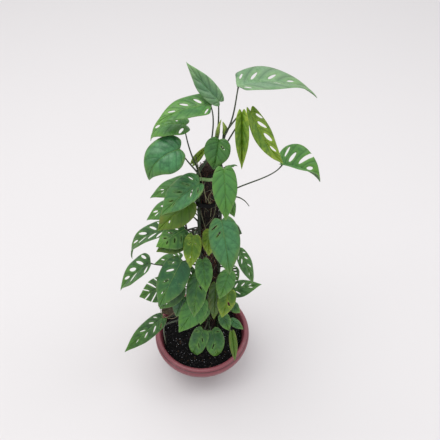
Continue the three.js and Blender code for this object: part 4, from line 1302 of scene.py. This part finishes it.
# %% Root paths
def smooth_path(points, steps=6):
    """A Catmull-Rom curve through points."""
    points = [Vector(point) for point in points]
    path = []
    for i in range(len(points) - 1):
        a, b, c, d = points[max(i - 1, 0)], points[i], points[i + 1], points[min(i + 2, len(points) - 1)]
        for step in range(steps):
            t = step / steps
            path.append(0.5 * (2 * b + (c - a) * t + (2 * a - 5 * b + 4 * c - d) * t ** 2
                               + (3 * b - a - 3 * c + d) * t ** 3))
    return [*path, points[-1]]


def strand(points, *radii):
    """A root or a tip through points, with radii that are spread evenly over its length."""
    path = smooth_path(points)
    shares = np.linspace(0, 1, len(path))
    return path, np.interp(shares, np.linspace(0, 1, len(radii)), radii).tolist(), shares.tolist()


ROOT_STEP, ROOT_SEED = 46, 4


def clinging_roots():
    """Short aerial roots that leave each shoot and creep over the coir."""
    rng = np.random.default_rng(ROOT_SEED)
    found = []
    for shoot, path in SHOOTS.items():
        high = min(POLE_TOP, path[-1][2])
        for z in np.arange(SOIL_LEVEL + 40, high - 20, ROOT_STEP):
            z = float(z + rng.uniform(-12, 12))
            start = on_shoot(shoot, z)
            turn = math.atan2(start.y - POLE_Y, start.x - pole_x(z))
            points, way = [start], rng.choice([-1, 1])
            for step in range(1, 6):
                angle = turn + way * step * rng.uniform(0.1, 0.2)
                out = POLE_RADIUS + (1.2 if step > 1 else 2.4)
                drop = z - step * rng.uniform(2, 7)
                points.append((pole_x(drop) + out * math.cos(angle), POLE_Y + out * math.sin(angle), drop))
            found.append(strand(points, 1.0, 0.4))
    return found


HANGING_ROOT = [
    on_shoot("left", 225), (-35, -28, 250), (-70, -42, 252), (-93, -45, 240),
    (-98, -44, 200), (-99, -40, 160), (-100, -36, SOIL_LEVEL + 4),
]

# %% [markdown]
# ## Growing tips and what has died
#
# At the top of each long shoot a yellow-green sheath holds the next leaf, still rolled up. Lower down,
# stalks that have lost their leaf stay as thin brown threads. All of them are tubes like the roots, with
# other radii and finishes, so one loop makes them.

# %% Tips, loose roots and dead stalks
GROWING_TIPS = [  # points, and radii: a sheath that narrows to the point of a rolled leaf
    ([(58, 6, 836), (59, 6, 846), (57, 5, 855), (55, 4, 863)], (4.0, 4.4, 2.8, 0.5)),
    ([(44, 5, 826), (46, 5, 840), (48, 5, 853), (52, 4, 868)], (3.8, 4.2, 2.6, 0.5)),
]
LONG_ROOTS = [
    [(4, -3, 790), (9, -6, 763), (14, -7, 737), (19, -7, 704), (22, -6, 666)],
    [(21, -5, 723), (17, -6, 704), (24, -5, 675), (32, -2, 652), (30, -4, 620)],
    [(38, -2, 715), (34, -5, 698), (27, -5, 681), (28, -2, 655)],
    [(42, 1, 664), (40, -2, 639), (35, -5, 617), (20, -5, 590)],
    [(10, -4, 640), (14, -5, 610), (22, -6, 570), (34, -4, 540)],
]
TENDRIL = [(66, -6, 694), (78, -2, 680), (90, 0, 673), (101, 0, 663), (110, 0, 648)]
TWIGS = [
    [(-40, -34, 322), (-50, -42, 298), (-66, -46, 277), (-86, -45, 278), (-98, -42, 296), (-97, -40, 322)],
    [(-62, -36, 300), (-74, -40, 282), (-90, -38, 268), (-104, -36, 276)],
    [(-84, -34, 330), (-94, -36, 345), (-102, -34, 332), (-104, -32, 312)],
]
OLD_ROOTS = [
    [(-28, -15, 602), (-12, -22, 592), (4, -18, 599)],
    [(-26, -20, 588), (-10, -28, 575), (8, -20, 570)],
    [(-24, -20, 548), (-12, -26, 560), (0, -24, 566), (13, -22, 564)],
    [(-19, -20, 568), (-8, -24, 540), (-5, -20, 481)],
    [(-22, -16, 610), (-18, -24, 580), (-14, -26, 550), (-16, -22, 520), (-6, -18, 500)],
    [(-8, -14, 588), (-8, -14, 568), (-9, -16, 553), (-3, -16, 535), (-8, -18, 520), (-2, -20, 500)],
    [(6, -14, 572), (5, -16, 560), (-1, -18, 543), (-1, -18, 527), (-8, -20, 508), (-14, -20, 478)],
]
SHEATH = stem_finish("young sheath", "#56702c", "#86a03e", "#a9bf5c")
OLD_ROOT = stem_finish("old root", "#100d0a", "#2a2119", "#463a2e")
PALE_ROOT = stem_finish("pale root", "#3c3f28", "#6a6a48", "#88825e")
DEAD = stem_finish("dead stalk", "#4a3c2c", "#7a6a50", "#94866a")
LOOSE_ENDS = {  # slot, finish, lines and sides
    "growing_tips": ("leaf_young", SHEATH, [strand(points, *radii) for points, radii in GROWING_TIPS], 10),
    "tendril": ("stem", STEM, [strand(TENDRIL, 2.0, 0.7)], 10),
    "long_roots": ("stem", PALE_ROOT, [strand(points, 1.0, 0.6) for points in LONG_ROOTS], 6),
    "old_roots": ("stem", OLD_ROOT, [strand(points, 2.2, 1.3) for points in OLD_ROOTS], 6),
    "dead_stalks": ("leaf_dry", DEAD, [strand(points, 1.1, 0.6) for points in TWIGS], 6),
    "hanging_root": ("stem", ROOT, [strand(HANGING_ROOT, 2.5, 1.4)], 10),
    "clinging_roots": ("stem", ROOT, clinging_roots(), 6),
}
for name, (slot, finish, lines, sides) in LOOSE_ENDS.items():
    tubes(name, slot, lines, finish, sides=sides)

# %% [markdown]
# ## The tie
#
# A soft green plant tie holds the two long shoots to the pole near its top, and a strap of dark webbing
# holds them lower down. Each is a flat band pulled round the pole and the shoots, so its path is the
# tight outline round three circles. A curve with a bevel could follow that path too, but it would
# twist at the tight bends, and a section set square to the path at each point doesn't.

# %% Tie
TIE_LEVEL, TIE_HEIGHT, TIE_SLACK = 727, 9, 0.5
STRAP_LEVEL, STRAP_HEIGHT, STRAP_SLACK = 652, 11, 1.6
BAND_WALL, BAND_BEVEL, BAND_SAG, SAG_STEP = 0.7, 0.6, 0.8, 0.35  # wall is half the thickness


def tight_outline(circles, grow, count=48):
    """The outline of a band pulled round circles, each x, y and radius, as points in turn."""
    turns = np.linspace(0, 2 * np.pi, count, endpoint=False)
    points = sorted((x + (radius + grow) * math.cos(turn), y + (radius + grow) * math.sin(turn))
                    for x, y, radius in circles for turn in turns)

    def chain(ordered):
        """The points that a string pulled tight from the first to the last touches."""
        kept = []
        for p in ordered:
            while len(kept) > 1 and (
                    (kept[-1][0] - kept[-2][0]) * (p[1] - kept[-2][1])
                    - (kept[-1][1] - kept[-2][1]) * (p[0] - kept[-2][0])) <= 0:
                kept.pop()
            kept.append(p)
        return kept

    return chain(points)[:-1] + chain(points[::-1])[:-1]


def tie_mesh(level, height, slack):
    """A flat band round the pole and the two long shoots at one level."""
    circles = [(pole_x(level), POLE_Y, POLE_RADIUS)]
    circles += [(*on_shoot(shoot, level).xy, STEM_RADIUS) for shoot in ("right", "left")]
    path = [Vector(point) for point in tight_outline(circles, slack + BAND_WALL)]
    centre = sum(path, Vector((0, 0))) / len(path)
    half, wall, inner = height / 2, BAND_WALL, BAND_WALL * 0.4
    lower = [(-wall, -half + BAND_BEVEL), (-inner, -half), (inner, -half), (wall, -half + BAND_BEVEL)]
    section = lower + [(-out, -up) for out, up in lower]
    form = bmesh.new()
    rings = []
    for i, place in enumerate(path):
        flow = (path[(i + 1) % len(path)] - path[i - 1]).normalized()
        normal = Vector((flow.y, -flow.x))
        normal = normal if normal.dot(place - centre) > 0 else -normal
        middle = level + BAND_SAG * math.sin(i * SAG_STEP)
        rings.append([form.verts.new(MM * Vector((*(place + normal * out), middle + up)))
                      for out, up in section])
    skin(form, rings + rings[:1])
    bmesh.ops.recalc_face_normals(form, faces=form.faces)
    mesh = mesh_from(form, "tie")
    mesh.shade_smooth()
    return mesh


def tie_finish(name, dark, light, rough):
    """Soft ribbed webbing."""
    material, board, set_sockets = new_finish(name)
    ribs = clouds(board, 0.0012, 2.0, (1, 1, 0.3))
    set_sockets(
        Base_Color=clouds(board, 0.01).mix(srgb(dark), srgb(light)),
        Roughness=rough, Specular_IOR_Level=0.3, Normal=relief(board, ribs, 0.0003))
    return material


tie = enlist(show("pole_tie_band", tie_mesh(TIE_LEVEL, TIE_HEIGHT, TIE_SLACK)), "tie", "pole_tie")
tie.data.materials.append(tie_finish("soft green tie", "#6a9656", "#9cc080", 0.55))
strap = enlist(show("dark_strap", tie_mesh(STRAP_LEVEL, STRAP_HEIGHT, STRAP_SLACK)), "tie")
strap.data.materials.append(tie_finish("dark webbing", "#040405", "#101014", 0.9))
print(f"tie: {len(tie.data.polygons)} faces, strap: {len(strap.data.polygons)}")

# %% [markdown]
# ## Growing the leaves
#
# With the tree, the pattern and the finishes in hand, the leaves are one loop. Each stands for its own
# solid, and those on the back shoot stand together with it. The withered one has lost its stiffness, so
# smooth noise crumples it afterwards.

# %% Leaves
CRUMPLE_SEED = 5  # without a seed, noise_vector is another one in each run


def crumple(piece, depth, size):
    """Pushes a dead blade about by smooth noise, the same way on both of its faces."""
    noise.seed_set(CRUMPLE_SEED)
    for vertex in piece.data.vertices:
        vertex.co += noise.noise_vector(vertex.co / size) * depth


CRUMPLE_DEPTH, CRUMPLE_SIZE = 6 * MM, 14 * MM
for one in LEAVES:
    number, colour = one["number"], one["colour"]
    finish, slot = LEAF_FINISHES[colour], f"leaf_{colour}"
    if colour == "dry":
        withered = grow_blade("withered_leaf", one, finish, finish, slot, "dry_leaf")
        crumple(withered, CRUMPLE_DEPTH, CRUMPLE_SIZE)
    elif one["shoot"] == "back":
        grow_blade(f"back_blade_{number:02d}", one, finish, UNDER, slot)
    else:
        grow_blade(f"blade_{number:02d}", one, finish, UNDER, slot, f"leaf_{number:02d}")
print(f"{len(LEAVES)} blades grown")
